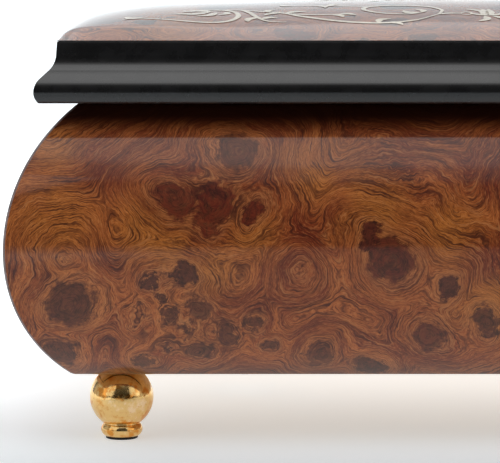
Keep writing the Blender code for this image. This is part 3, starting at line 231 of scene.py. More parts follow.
# Eyes of the burl on the front: place along X and height in millimetres, radius, how many rings stand
# round it, and how dark and how red it is
FRONT_EYES = (
    (-53.6, 61.0, 4.6, 5.0, 0.75, 0.2),
    (-65.3, 52.4, 4.4, 3.0, 0.80, 0.8),
    (-58.2, 52.6, 5.0, 2.5, 0.85, 0.9),
    (-58.6, 49.0, 3.4, 2.0, 0.75, 1.0),
    (-48.8, 50.8, 3.4, 4.5, 0.90, 0.9),
    (-24.8, 45.0, 3.6, 3.5, 0.95, 0.3),
    (-22.2, 40.4, 5.4, 5.0, 0.85, 0.5),
    (-88.2, 42.2, 1.0, 5.5, 0.70, 0.2),
    (-86.5, 31.8, 6.2, 2.0, 0.85, 0.1),
    (-69.6, 35.0, 2.2, 2.0, 0.90, 0.1),
    (-63.8, 36.3, 3.4, 2.5, 0.90, 0.1),
    (-67.2, 31.2, 1.5, 1.0, 0.80, 0.1),
    (-73.3, 29.6, 1.9, 1.6, 0.70, 0.2),
    (-72.9, 27.6, 2.2, 1.6, 0.80, 0.2),
    (-66.4, 26.8, 2.6, 1.0, 0.80, 0.1),
    (-60.6, 29.4, 3.0, 1.0, 0.75, 0.1),
    (-62.4, 25.4, 2.6, 1.0, 0.80, 0.1),
    (-55.4, 25.6, 3.0, 1.2, 0.80, 0.1),
    (-66.0, 22.0, 2.2, 1.2, 0.85, 0.1),
    (-60.4, 21.4, 3.0, 1.2, 0.80, 0.1),
    (-49.2, 27.6, 2.6, 1.4, 0.80, 0.1),
    (-88.4, 20.0, 3.6, 2.5, 0.80, 0.1),
    (-71.6, 18.6, 2.4, 1.6, 0.80, 0.1),
    (-47.0, 22.0, 2.4, 1.2, 0.75, 0.1),
    (-36.2, 18.8, 3.8, 3.0, 0.70, 0.2),
    (-25.2, 17.2, 4.2, 3.0, 0.90, 0.0),
    (-10.2, 34.6, 3.2, 3.0, 0.90, 0.0),
    (-13.4, 24.6, 4.0, 3.5, 0.80, 0.5),
    (-1.8, 26.8, 4.0, 3.0, 0.85, 0.0),
    (-40.8, 36.6, 1.8, 2.5, 0.60, 0.5),
    (14.5, 53.0, 4.6, 4.5, 0.85, 0.8),
    (24.0, 47.5, 3.4, 3.0, 0.85, 0.9),
    (33.0, 31.0, 5.0, 4.0, 0.85, 0.2),
    (12.0, 36.5, 2.6, 2.5, 0.80, 0.1),
    (46.5, 56.5, 4.0, 5.0, 0.80, 0.5),
    (55.0, 40.5, 5.6, 4.5, 0.85, 0.6),
    (41.0, 22.5, 3.0, 2.0, 0.80, 0.1),
    (63.5, 26.5, 3.2, 2.5, 0.85, 0.1),
    (72.0, 34.0, 2.4, 2.0, 0.85, 0.1),
    (70.5, 50.0, 4.0, 3.5, 0.80, 0.8),
    (86.0, 43.0, 3.2, 5.0, 0.75, 0.3),
    (82.0, 22.5, 4.4, 2.5, 0.85, 0.1),
)

# Golden and wine-red patches of the front's burl: place along X, height and radius in millimetres
GOLD_PATCHES = (
    (-90.0, 48.0, 15.0), (-72.0, 46.0, 11.0), (-50.0, 45.0, 9.0), (-24.0, 50.0, 12.0), (-37.0, 56.0, 8.0),
    (-10.0, 45.0, 12.0), (-57.0, 38.0, 10.0), (-90.0, 62.0, 9.0), (20.0, 42.0, 14.0), (48.0, 48.0, 12.0),
    (84.0, 48.0, 14.0), (62.0, 60.0, 10.0),
)
WINE_PATCHES = (
    (-63.0, 53.0, 12.0), (-48.0, 57.0, 10.0), (-22.0, 60.0, 12.0), (-2.0, 58.0, 12.0), (-80.0, 58.0, 9.0),
    (-39.0, 46.0, 7.0), (-3.0, 40.0, 8.0), (30.0, 58.0, 14.0), (52.0, 60.0, 9.0), (72.0, 54.0, 10.0),
)


def up_the_panel(height):
    """How far up the curved face a height lies, from the widest line, so that veneer isn't stretched."""
    if height > BULGE_HEIGHT:
        return UPPER_RADIUS * math.asin(min(1.0, (height - BULGE_HEIGHT) / UPPER_RADIUS))
    return LOWER_RADIUS * math.asin(max(-1.0, (height - BULGE_HEIGHT) / LOWER_RADIUS))


def draw_in(widest, draw, rise, points):
    """An arc that leaves its widest point square and has drawn in by draw at a height of rise."""
    radius = (rise * rise + draw * draw) / (2 * draw)
    spread = math.asin(rise / radius)
    inset, height = widest
    steps = [spread * index / (points - 1) for index in range(points)]
    return [
        (
            inset + radius - radius * math.cos(step),
            height + math.copysign(radius * math.sin(step), rise),
        )
        for step in steps
    ]


def arc(centre, radius, start, end, points):
    """Points on a circle, both ends included."""
    angles = [start + (end - start) * index / (points - 1) for index in range(points)]
    return [(centre[0] + radius * math.cos(a), centre[1] + radius * math.sin(a)) for a in angles]


def link_object(name, mesh, materials):
    """Adds an object of a mesh and its materials to the scene."""
    piece = bpy.data.objects.new(name, mesh)
    bpy.context.scene.collection.objects.link(piece)
    for material in materials:
        mesh.materials.append(material)
    return piece


def finish_piece(name, bm, materials, body, sharp=35, outwards=True):
    """Makes the finished bmesh a shaded object that rides on a body."""
    if outwards:
        bmesh.ops.recalc_face_normals(bm, faces=bm.faces)
    mesh = bpy.data.meshes.new(name)
    bm.to_mesh(mesh)
    bm.free()
    mesh.shade_smooth()
    mesh.set_sharp_from_angle(angle=math.radians(sharp))
    piece = link_object(name, mesh, materials)
    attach(piece, body)
    return piece


def extend(bm, ring, edges):
    """Extrudes a chain of edges and returns the new verts in the old order, and the new edges."""
    grown = bmesh.ops.extrude_edge_only(bm, edges=edges)["geom"]
    fresh = {item for item in grown if isinstance(item, bmesh.types.BMVert)}
    following = []
    for vert in ring:
        others = (edge.other_vert(vert) for edge in vert.link_edges)
        following.append(next(other for other in others if other in fresh))
    fresh_edges = [
        item
        for item in grown
        if isinstance(item, bmesh.types.BMEdge) and all(vert in fresh for vert in item.verts)
    ]
    return following, fresh_edges


def start_ring(bm, points, closed=True):
    """Adds a chain of edges through the points and returns its verts and edges."""
    ring = [bm.verts.new(point) for point in points]
    pairs = zip(ring, ring[1:] + ring[:1] if closed else ring[1:])
    return ring, [bm.edges.new(pair) for pair in pairs]


def chamfer(bm, edges, width, segments):
    """Rounds edges and returns the new faces."""
    return bmesh.ops.bevel(
        bm,
        geom=edges,
        offset=width,
        offset_type="OFFSET",
        affect="EDGES",
        segments=segments,
        profile=0.5,
        material=-1,
        clamp_overlap=True,
    )["faces"]


def corner_of(vert):
    """Which of the four upright corners a vert is near."""
    return (vert.co.x > 0, vert.co.y > 0)


def case_section():
    """The wall's section of (inset, height), finer than the frame's: outside, foot, rebate and inside."""
    upper = draw_in((0.0, BULGE_HEIGHT), BODY_INSET_TOP, BODY_TOP - BULGE_HEIGHT, 30)
    lower = draw_in((0.0, BULGE_HEIGHT), BODY_INSET_BOTTOM, BODY_BOTTOM - BULGE_HEIGHT, 26)
    foot_of_wall = BODY_BOTTOM + BODY_EDGE_RADIUS
    reach = LOWER_RADIUS - BODY_EDGE_RADIUS
    drop = BULGE_HEIGHT - foot_of_wall
    edge_inset = LOWER_RADIUS - math.sqrt(reach * reach - drop * drop)
    start = math.pi + math.asin(drop / reach)
    touch = BULGE_HEIGHT - LOWER_RADIUS * drop / reach
    lower = [point for point in lower if point[1] > touch + 0.0002]
    edge = arc((edge_inset, foot_of_wall), BODY_EDGE_RADIUS, start, math.radians(270), 8)
    inside = [
        (REBATE_INSET, BODY_BOTTOM),
        (REBATE_INSET, BODY_BOTTOM + REBATE_HEIGHT),
        (INNER_INSET, BODY_BOTTOM + REBATE_HEIGHT),
        (INNER_INSET, BODY_TOP),
    ]
    return lower + edge + inside + upper[:0:-1]


def wrap_case(bm):
    """Sweeps the section round the four mitred corners and notes which side each face is on."""
    section = case_section()
    side_layer = bm.faces.layers.int.new("side")

    def at_corner(signs):
        return [
            (signs[0] * (HALF_WIDTH - inset), signs[1] * (HALF_DEPTH - inset), z)
            for inset, z in section
        ]

    corners = ((-1, -1), (1, -1), (1, 1), (-1, 1))
    ring, edges = start_ring(bm, at_corner(corners[0]))
    for side, signs in enumerate(corners[1:] + corners[:1]):
        known = set(bm.faces)
        ring, edges = extend(bm, ring, edges)
        for vert, place in zip(ring, at_corner(signs)):
            vert.co = place
        for face in bm.faces:
            if face not in known:
                face[side_layer] = side
    bmesh.ops.remove_doubles(bm, verts=bm.verts, dist=0.000001)
    return side_layer


# Where the veneer of the next side of the case starts, and the lid's, in metres along the texture
SIDE_VENEER_STEP = 0.5
LID_VENEER_START = 3.0


def lay_veneer(bm, side_layer):
    """UV in metres: along each side, and up its curved face. Each side starts half a metre on."""
    uv_layer = bm.loops.layers.uv.new("veneer")
    for face in bm.faces:
        side = face[side_layer]
        for loop in face.loops:
            place = loop.vert.co
            along = (place.x, place.y, -place.x, -place.y)[side]
            loop[uv_layer].uv = (along + SIDE_VENEER_STEP * side, up_the_panel(place.z))


def carve(piece, cutters):
    """Takes the cutters out of a piece and removes them."""
    for cutter in cutters:
        modifier = piece.modifiers.new("carve", "BOOLEAN")
        modifier.operation = "DIFFERENCE"
        modifier.solver = "EXACT"
        modifier.object = cutter
    graph = bpy.context.evaluated_depsgraph_get()
    carved = bpy.data.meshes.new_from_object(piece.evaluated_get(graph))
    carved.name = piece.name
    piece.modifiers.clear()
    piece.data = carved
    for cutter in cutters:
        bpy.data.objects.remove(cutter)


def box_mesh(bm, low, high):
    """Adds a cuboid between two opposite corners and returns its verts."""
    low = Vector(low)
    high = Vector(high)
    made = bmesh.ops.create_cube(bm, size=1.0)["verts"]
    bmesh.ops.scale(bm, vec=high - low, verts=made)
    bmesh.ops.translate(bm, vec=(high + low) / 2, verts=made)
    return made


def cutter_from(name, bm):
    """An object without a body, for carve to take away."""
    mesh = bpy.data.meshes.new(name)
    bm.to_mesh(mesh)
    bm.free()
    return link_object(name, mesh, ())


def hinge_cutters():
    """The room that each hinge takes out of the case's rear edge: one for the leaf, one for the knuckle."""
    cutters = []
    clear = 0.0003
    reach = 0.0012
    knuckle_radius = 0.0020
    knuckle_inset = 0.0016
    for side in ("left", "right"):
        low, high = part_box(f"hinge_{side}_case_leaf")
        middle = (low.z + high.z) / 2
        bm = bmesh.new()
        box_mesh(
            bm,
            (low.x - clear, low.y - clear, middle - reach),
            (high.x + clear, high.y + clear, middle + reach),
        )
        cutters.append(cutter_from(f"leaf_room_{side}", bm))
        bm = bmesh.new()
        bmesh.ops.create_cone(
            bm,
            cap_ends=True,
            segments=24,
            radius1=knuckle_radius,
            radius2=knuckle_radius,
            depth=high.x - low.x + 4 * clear,
            matrix=Matrix.Translation(((low.x + high.x) / 2, high.y - knuckle_inset, middle))
            @ Matrix.Rotation(math.radians(90), 4, "Y"),
        )
        cutters.append(cutter_from(f"knuckle_room_{side}", bm))
    return cutters


def moulding_section():
    """The lid edge's section of (inset, height): bead, cove and fascia."""
    widest = (BEAD_INSET, LID_BOTTOM + BEAD_RISE)
    under = draw_in(widest, BEAD_UNDERCUT, -BEAD_RISE, 10)
    shoulder = draw_in(widest, BEAD_SHOULDER, BEAD_SHOULDER_RISE, 10)
    fascia_foot = (CROWN_INSET - FASCIA_DRAFT, LID_EDGE_TOP - FASCIA_HEIGHT)
    centre = (fascia_foot[0] - COVE_RADIUS, fascia_foot[1])
    cove = arc(centre, COVE_RADIUS, 0.0, -COVE_ANGLE, 18)
    inner = [(INNER_INSET, LID_EDGE_TOP), (INNER_INSET, LID_BOTTOM)]
    return inner + under[::-1] + shoulder[1:] + cove[::-1] + [(CROWN_INSET, LID_EDGE_TOP)]


CROWN_HALF_X = HALF_WIDTH - CROWN_INSET
CROWN_FRONT = -HALF_DEPTH + CROWN_INSET
CROWN_REAR = REAR_FACE - REAR_LEDGE
CROWN_HALF_Y = (CROWN_REAR - CROWN_FRONT) / 2
CROWN_MIDDLE_Y = (CROWN_REAR + CROWN_FRONT) / 2
CROWN_SEAT = LID_EDGE_TOP + 0.00005
CROWN_EDGE_TOP = CROWN_SEAT + 0.00012
CROWN_RISE = CROWN_TOP - CROWN_EDGE_TOP

# The rounding of the dome's left and right ends, finer than the frame's: how high it stands, how far in
# it is full, over how long it starts at the corners, and where it has faded out
CROWN_ROLL = 0.0016
CROWN_ROLL_WIDTH = 0.005
CROWN_ROLL_RAMP = 0.008
CROWN_ROLL_REACH = 0.045


def crown_height(x, y):
    """The domed top's height over the floor at a place on it."""
    across_y = (y - CROWN_MIDDLE_Y) / CROWN_HALF_Y
    along = max(0.0, 1 - abs(x / CROWN_HALF_X) ** CROWN_LONG_POWER) ** (1 / CROWN_LONG_ROOT)
    across = max(0.0, 1 - abs(across_y) ** CROWN_SHORT_POWER) ** (1 / CROWN_SHORT_ROOT)
    from_end = max(0.0, CROWN_HALF_X - abs(x))
    roll = min(1.0, from_end / CROWN_ROLL_WIDTH)
    ramp = min(1.0, max(0.0, CROWN_HALF_Y - abs(y - CROWN_MIDDLE_Y)) / CROWN_ROLL_RAMP)
    fade = min(1.0, from_end / CROWN_ROLL_REACH)
    rounded = math.sqrt(roll * (2 - roll)) * ramp * (1 - fade * fade * (3 - 2 * fade))
    return CROWN_EDGE_TOP + CROWN_ROLL * rounded + CROWN_RISE * along * across


def turned(name, profile, material, body, centre, steps, sharp):
    """A piece of revolution about an upright axis, spun from a profile of (radius, height)."""
    bm = bmesh.new()
    points = [(centre[0] + radius, centre[1], z) for radius, z in profile]
    ring, edges = start_ring(bm, points, closed=False)
    bmesh.ops.spin(
        bm,
        geom=ring + edges,
        cent=(centre[0], centre[1], 0.0),
        axis=(0.0, 0.0, 1.0),
        angle=2 * math.pi,
        steps=steps,
        use_merge=True,
    )
    bmesh.ops.remove_doubles(bm, verts=bm.verts, dist=0.000002)
    return finish_piece(name, bm, (material,), body, sharp)


# Finishes, whose noise over the burl's own plane is in waves per millimetre

# The clear lacquer over veneer and inlay
GLOSS_ROUGHNESS = 0.07
GLOSS_IOR = 1.40


def front_field(g, place, edge_waver):
    """Distance rings that merge round the front's eyes, and the eyes' dark hearts and red glow."""
    field = None
    heart = None
    glow = None
    halo = None
    for x, z, radius, rings, dark, red in FRONT_EYES:
        eye = (x, 1000 * up_the_panel(z / 1000), 0.0)
        away = g.vector("DISTANCE", place, eye)
        shell = g.math("SUBTRACT", away, radius + 0.4 * rings)
        field = shell if field is None else g.math("SMOOTH_MIN", field, shell, 4.5)
        near = g.math("ADD", away, edge_waver)
        spot = g.span(near, radius, radius * 0.72, 0.0, dark)
        heart = spot if heart is None else g.math("MAXIMUM", heart, spot)
        rim = g.math("MULTIPLY", g.span(near, radius * 1.25 + 0.9, radius * 1.12), dark)
        halo = rim if halo is None else g.math("MAXIMUM", halo, rim)
        if red > 0.15:
            blush = g.span(away, radius * 1.7 + 1.5, radius * 0.6, 0.0, red)
            glow = blush if glow is None else g.math("MAXIMUM", glow, blush)
    return field, heart, halo, glow


def random_field(g, place, edge_waver):
    """The same for the other sides and the lid, round cells with random centres."""
    scale = 0.075
    soft = g.add("ShaderNodeTexVoronoi", voronoi_dimensions="2D", feature="SMOOTH_F1")
    g.feed(soft.inputs["Vector"], place)
    soft.inputs["Scale"].default_value = scale
    soft.inputs["Smoothness"].default_value = 0.35
    cells = g.add("ShaderNodeTexVoronoi", voronoi_dimensions="2D")
    g.feed(cells.inputs["Vector"], place)
    cells.inputs["Scale"].default_value = scale
    pick = g.add("ShaderNodeSeparateColor")
    g.feed(pick.inputs[0], cells.outputs["Color"])
    field = g.math("DIVIDE", soft.outputs["Distance"], scale)
    away = g.math("ADD", g.math("DIVIDE", cells.outputs["Distance"], scale), edge_waver)
    kept = g.math("GREATER_THAN", pick.outputs[0], 0.30)
    size = g.span(pick.outputs[1], 0.0, 1.0, 1.2, 4.6)
    spot = g.span(away, g.math("MULTIPLY", size, 1.12), g.math("MULTIPLY", size, 0.86))
    heart = g.math("MULTIPLY", g.math("MULTIPLY", spot, kept), 0.92)
    rim = g.span(away, g.math("MULTIPLY_ADD", size, 1.25, 0.9), g.math("MULTIPLY", size, 1.12))
    halo = g.math("MULTIPLY", rim, kept)
    red = g.span(pick.outputs[2], 0.5, 0.8)
    blush = g.span(away, g.math("MULTIPLY", size, 2.2), size)
    glow = g.math("MULTIPLY", blush, g.math("MULTIPLY", red, kept))
    return field, heart, halo, glow


def patches(g, place, spots):
    """Soft patches round given places of (x, height, radius) in millimetres."""
    patch = None
    for x, z, radius in spots:
        away = g.vector("DISTANCE", place, (x, 1000 * up_the_panel(z / 1000), 0.0))
        one = g.span(away, radius, 0.0)
        patch = one if patch is None else g.math("MAXIMUM", patch, one)
    return patch


def burl_material(look):
    """Gloss-lacquered burl: broken strands that follow rings round the eyes."""
    g = Graph("burl_veneer")
    flat = g.vector("SCALE", g.uv(), scale=1000.0)
    split = g.add("ShaderNodeSeparateXYZ")
    g.feed(split.inputs[0], flat)
    drift = g.vector("SUBTRACT", g.noise(flat, 0.05, 1.0, 0.5, colour=True), (0.5, 0.5, 0.5))
    waver = g.vector("SUBTRACT", g.noise(flat, 0.26, 2.0, 0.55, colour=True), (0.5, 0.5, 0.5))
    place = g.vector("ADD", flat, g.vector("SCALE", drift, scale=9.0))
    place = g.vector("ADD", place, g.vector("SCALE", waver, scale=2.2))
    edge_waver = g.math("MULTIPLY", g.math("SUBTRACT", g.noise(flat, 0.42, 4.0, 0.68), 0.5), 6.4)

    # The front's texture lies left of 200 mm, and that of the other sides and the lid to the right of it
    is_front = g.math("LESS_THAN", split.outputs["X"], 200.0)
    seen = front_field(g, place, edge_waver)
    rest = random_field(g, place, edge_waver)
    field, heart, halo, glow = (g.blend(is_front, other, front) for other, front in zip(rest, seen))

    # Strands: a noise that changes slowly along a ring and fast across it
    ripple = g.math("MULTIPLY", g.noise(flat, 0.040, 1.0, 0.5), 14.0)
    across = g.math("ADD", g.math("MULTIPLY", field, look.ring_density), ripple)
    broad = g.strand(flat, across, 0.06, 0.50, 2.0)
    line = g.strand(flat, across, 0.12, 3.3, 2.0)
    fine = g.strand(flat, across, 0.30, 8.0, 2.0)
    fibre = g.strand(flat, across, 1.1, 9.0, 2.0)
    mottle = g.noise(flat, 0.16, 3.0, 0.6)
    front_gold = g.math("MULTIPLY", patches(g, flat, GOLD_PATCHES), is_front)
    gold = g.math("MAXIMUM", front_gold, g.span(g.noise(flat, 0.036, 1.0, 0.5), 0.54, 0.70))
    wine = g.math("MULTIPLY", patches(g, flat, WINE_PATCHES), is_front)

    body = g.mix(g.span(broad, 0.36, 0.62), look.burl_mid, look.burl_light)
    body = g.mix(g.math("MULTIPLY", gold, 0.7), body, look.burl_gold)
    body = g.mix(g.math("MULTIPLY", wine, 0.75), body, look.burl_red)
    body = g.mix(g.span(mottle, 0.45, 0.75, 0.0, 0.35), body, look.burl_mid)
    body = g.mix(g.math("MULTIPLY", glow, 0.6), body, look.burl_red)
    body = g.mix(g.math("MULTIPLY", halo, 0.30), body, look.burl_pale)
    body = g.mix(g.span(fibre, 0.52, 0.34, 0.0, 0.55), body, look.burl_dark)
    body = g.mix(g.span(fibre, 0.52, 0.70, 0.0, 0.40), body, look.burl_pale)
    some = g.span(g.noise(flat, 0.12, 2.0, 0.5), 0.35, 0.60, 0.35, 0.85)
    body = g.mix(g.math("MULTIPLY", g.span(line, 0.50, 0.36), some), body, look.burl_dark)
    body = g.mix(g.span(fine, 0.50, 0.34, 0.0, 0.55), body, look.burl_dark)
    body = g.mix(g.span(line, 0.58, 0.70, 0.0, 0.45), body, look.burl_pale)
    swirl = g.noise(place, 0.75, 3.0, 0.65)
    core = g.mix(g.span(swirl, 0.36, 0.62), look.burl_eye, look.burl_core)
    core = g.mix(g.span(fibre, 0.50, 0.70, 0.0, 0.30), core, look.burl_mid)
    core = g.mix(g.math("MULTIPLY", glow, g.span(swirl, 0.35, 0.65, 0.15, 0.75)), core, look.burl_red)
    body = g.mix(heart, body, core)
    pore = g.span(g.noise(flat, 2.2, 2.0, 0.7), 0.60, 0.70, 0.0, 0.3)
    body = g.mix(pore, body, look.burl_dark)

    # Painted shade: the case is darkened just under the lid, where the lid's overhang shades it, and along
    # its lower edge
    over_top = g.math("SUBTRACT", split.outputs["Y"], 1000 * up_the_panel(BODY_TOP))
    over_foot = g.math("SUBTRACT", split.outputs["Y"], 1000 * up_the_panel(BODY_BOTTOM))
    shade_under_lid = g.span(over_top, -9.5, -3.5, 0.0, 0.95)
    shade_along_foot = g.span(over_foot, 6.0, 0.5, 0.0, 0.45)
    painted_shade = g.math("MAXIMUM", shade_under_lid, shade_along_foot)
    on_case = g.math("LESS_THAN", split.outputs["X"], 1000 * LID_VENEER_START - 500.0)
    body = g.mix(g.math("MULTIPLY", painted_shade, on_case), body, look.burl_painted_shade)
    return g.set(
        colour=body,
        roughness=0.42,
        specular=0.12,
        coat=1.0,
        coat_roughness=GLOSS_ROUGHNESS,
        coat_ior=GLOSS_IOR,
        coat_normal=g.bump(g.noise(flat, 0.02, 1.0, 0.5), 0.00002, 0.5),
    )


def mitre_joint_highlight_material(look):
    """The rounded corner over the joint of two veneers: a real joint line, coloured pale grey-purple as a
    painted highlight of the corner's reflection.
    """
    g = Graph("mitre_joint_highlight")
    grain = g.noise(g.place(), 900.0, 2.0, 0.6)
    return g.set(
        # Pale grey-purple: a painted highlight on the rounded corner
        colour=g.mix(g.span(grain, 0.3, 0.7), (0.10, 0.055, 0.050), (0.24, 0.16, 0.15)),
        roughness=0.35, coat=1.0, coat_roughness=0.05,
    )


def lacquer_material(look):
    """Black lacquer, polished, with the faint waves and dust that polishing leaves."""
    g = Graph("black_lacquer")
    wave = g.noise(g.place(), 60.0, 2.0, 0.4)
    haze = g.noise(g.place(), 240.0, 3.0, 0.6)
    return g.set(
        colour=g.mix(g.span(haze, 0.35, 0.75), look.lacquer, tuple(2 * v for v in look.lacquer)),
        roughness=g.span(haze, 0.2, 0.8, 0.22, 0.34),
        specular=0.35,
        coat=1.0,
        coat_roughness=0.04,
        coat_normal=g.bump(wave, 0.00002, 0.4),
    )


def metal_material(name, colour, roughness, scale, wear, tarnish, grain=(1.0, 1.0, 1.0)):
    """A metal with fine machining, faint stains and uneven polish."""
    g = Graph(name)
    mapping = g.add("ShaderNodeMapping")
    g.feed(mapping.inputs["Vector"], g.place())
    mapping.inputs["Scale"].default_value = grain
    marks = g.noise(mapping.outputs[0], scale, 4.0, 0.6)
    stain = g.noise(g.place(), 130.0, 3.0, 0.6)
    darker = tuple(0.55 * value for value in colour)
    return g.set(
        colour=g.mix(g.span(stain, 0.4, 0.8, 0.0, tarnish), colour, darker),
        metallic=1.0,
        roughness=g.span(marks, 0.25, 0.75, roughness, roughness + wear),
        normal=g.bump(marks, 0.00002, 0.35),
    )


def gold_material(look):
    """Polished gold plate over a turned foot, with orange and pale mottling painted on as reflections of
    the floor and wood round it, and fine dark specks.
    """
    g = Graph("polished_gold")
    reflection_mottle = g.noise(g.place(), 300.0, 3.0, 0.62)
    speck = g.noise(g.place(), 1500.0, 3.0, 0.65)
    ripple = g.noise(g.place(), 240.0, 3.0, 0.55)
    reflection_and_speck_dark = tuple(value * share for value, share in zip(look.gold, (0.86, 0.55, 0.26)))
    pale = tuple(min(1.0, value * share) for value, share in zip(look.gold, (1.08, 1.18, 1.75)))
    # Painted reflection: orange and pale patches stand in for the floor and wood mirrored in the ball
    tone = g.mix(g.span(reflection_mottle, 0.50, 0.36), look.gold, reflection_and_speck_dark)
    tone = g.mix(g.span(reflection_mottle, 0.54, 0.66), tone, pale)
    tone = g.mix(g.span(speck, 0.60, 0.72, 0.0, 0.5), tone, reflection_and_speck_dark)
    return g.set(
        colour=tone,
        metallic=1.0,
        roughness=g.span(speck, 0.35, 0.7, 0.08, 0.24),
        normal=g.bump(g.math("ADD", ripple, g.math("MULTIPLY", speck, 0.12)), 0.00022, 0.5),
    )


def velvet_material(look):
    """Short pile: a dark root, a soft sheen, and brushed lighter and darker ways."""
    g = Graph("velvet")
    colour = look.velvet
    brushed = g.noise(g.place(), 45.0, 2.0, 0.55)
    pile = g.noise(g.place(), 2600.0, 1.0, 0.5)
    shade = g.mix(g.span(brushed, 0.35, 0.68), tuple(0.55 * v for v in colour), colour)
    return g.set(
        colour=g.mix(g.span(pile, 0.3, 0.7, 0.0, 0.35), shade, tuple(0.4 * v for v in colour)),
        roughness=0.95,
        specular=0.15,
        sheen=0.55,
        sheen_roughness=0.35,
        sheen_tint=(0.9, 0.45, 0.5, 1.0),
        normal=g.bump(pile, 0.00025, 0.6),
    )


def felt_material(look):
    """Dark felt with loose fibres."""
    g = Graph("felt")
    fibre = g.noise(g.place(), 2200.0, 4.0, 0.7)
    return g.set(
        colour=g.mix(g.span(fibre, 0.3, 0.7), (0.010, 0.010, 0.011), (0.035, 0.034, 0.036)),
        roughness=0.95, specular=0.2, sheen=0.2, sheen_roughness=0.5,
        normal=g.bump(fibre, 0.0002, 0.8),
    )


def plain_wood_material(look):
    """Varnished board with straight grain along X."""
    g = Graph("plywood")
    mapping = g.add("ShaderNodeMapping")
    g.feed(mapping.inputs["Vector"], g.place())
    mapping.inputs["Scale"].default_value = (14.0, 170.0, 170.0)
    grain = g.noise(mapping.outputs[0], 3.0, 4.0, 0.62)
    pores = g.noise(mapping.outputs[0], 14.0, 3.0, 0.6)
    tone = g.mix(g.span(grain, 0.3, 0.7), (0.34, 0.190, 0.085), (0.58, 0.360, 0.180))
    return g.set(
        colour=g.mix(g.span(pores, 0.55, 0.72, 0.0, 0.5), tone, (0.17, 0.085, 0.036)),
        roughness=g.span(grain, 0.3, 0.7, 0.42, 0.55),
        normal=g.bump(pores, 0.00008, 0.5),
    )


def cast_material(look):
    """Cast zinc alloy, matt and slightly grainy."""
    g = Graph("cast_zinc")
    skin = g.noise(g.place(), 1500.0, 3.0, 0.6)
    stain = g.noise(g.place(), 90.0, 2.0, 0.5)
    return g.set(
        colour=g.mix(g.span(stain, 0.35, 0.7), (0.42, 0.42, 0.43), (0.30, 0.30, 0.31)),
        metallic=1.0, roughness=g.span(skin, 0.3, 0.7, 0.42, 0.58), normal=g.bump(skin, 0.0001, 0.5),
    )


def clear_material(look):
    """Clear acrylic with fine rubbing marks."""
    g = Graph("clear_acrylic")
    rub = g.noise(g.place(), 900.0, 2.0, 0.6)
    return g.set(
        colour=(0.97, 0.985, 0.99, 1.0), transmission=1.0, ior=1.49,
        roughness=g.span(rub, 0.45, 0.8, 0.015, 0.06),
    )


def plastic_material(look):
    """Black plastic with a satin skin."""
    g = Graph("black_plastic")
    skin = g.noise(g.place(), 1800.0, 2.0, 0.5)
    return g.set(
        colour=g.mix(g.span(skin, 0.3, 0.7), (0.010, 0.010, 0.011), (0.020, 0.020, 0.021)),
        roughness=g.span(skin, 0.3, 0.7, 0.34, 0.48), normal=g.bump(skin, 0.00005, 0.4),
    )


def inlay_material(look):
    """Pale wood inlay under the same lacquer as the veneer round it."""
    g = Graph("pale_inlay")
    grain = g.noise(g.place(), 700.0, 3.0, 0.6)
    tone = g.mix(g.span(grain, 0.35, 0.7), look.inlay, tuple(0.72 * v for v in look.inlay))
    return g.set(
        colour=tone, roughness=0.38, specular=0.3,
        coat=1.0, coat_roughness=GLOSS_ROUGHNESS, coat_ior=GLOSS_IOR,
    )


FINISHES = {}


def finish_of(slot):
    """The material for one of the record's slots or for a scene finish, made once."""
    look = bpy.context.scene.jewelry_box_look
    brass = (0.72, 0.50, 0.22)
    steel = (0.56, 0.57, 0.58)
    makers = {
        "burl_veneer": lambda: burl_material(look),
        "mitre_joint_highlight": lambda: mitre_joint_highlight_material(look),
        "black_lacquer": lambda: lacquer_material(look),
        "polished_gold": lambda: gold_material(look),
        "brass": lambda: metal_material("brass", brass, 0.20, 500.0, 0.14, 0.6),
        "steel": lambda: metal_material("steel", steel, 0.22, 900.0, 0.16, 0.3, (0.2, 1.0, 1.0)),
        "cast_zinc": lambda: cast_material(look),
        "plywood": lambda: plain_wood_material(look),
        "velvet": lambda: velvet_material(look),
        "felt": lambda: felt_material(look),
        "clear_acrylic": lambda: clear_material(look),
        "black_plastic": lambda: plastic_material(look),
        "pale_inlay": lambda: inlay_material(look),
    }
    if slot not in FINISHES:
        FINISHES[slot] = makers[slot]()
    return FINISHES[slot]


def coat_node(name, slot):
    """Gives a frame node that stays in view its detailed material."""
    node = NODES[name]
    if not node.material_slots:
        node.data.materials.append(finish_of(slot))
    for place in node.material_slots:
        place.material = finish_of(slot)


# Pieces


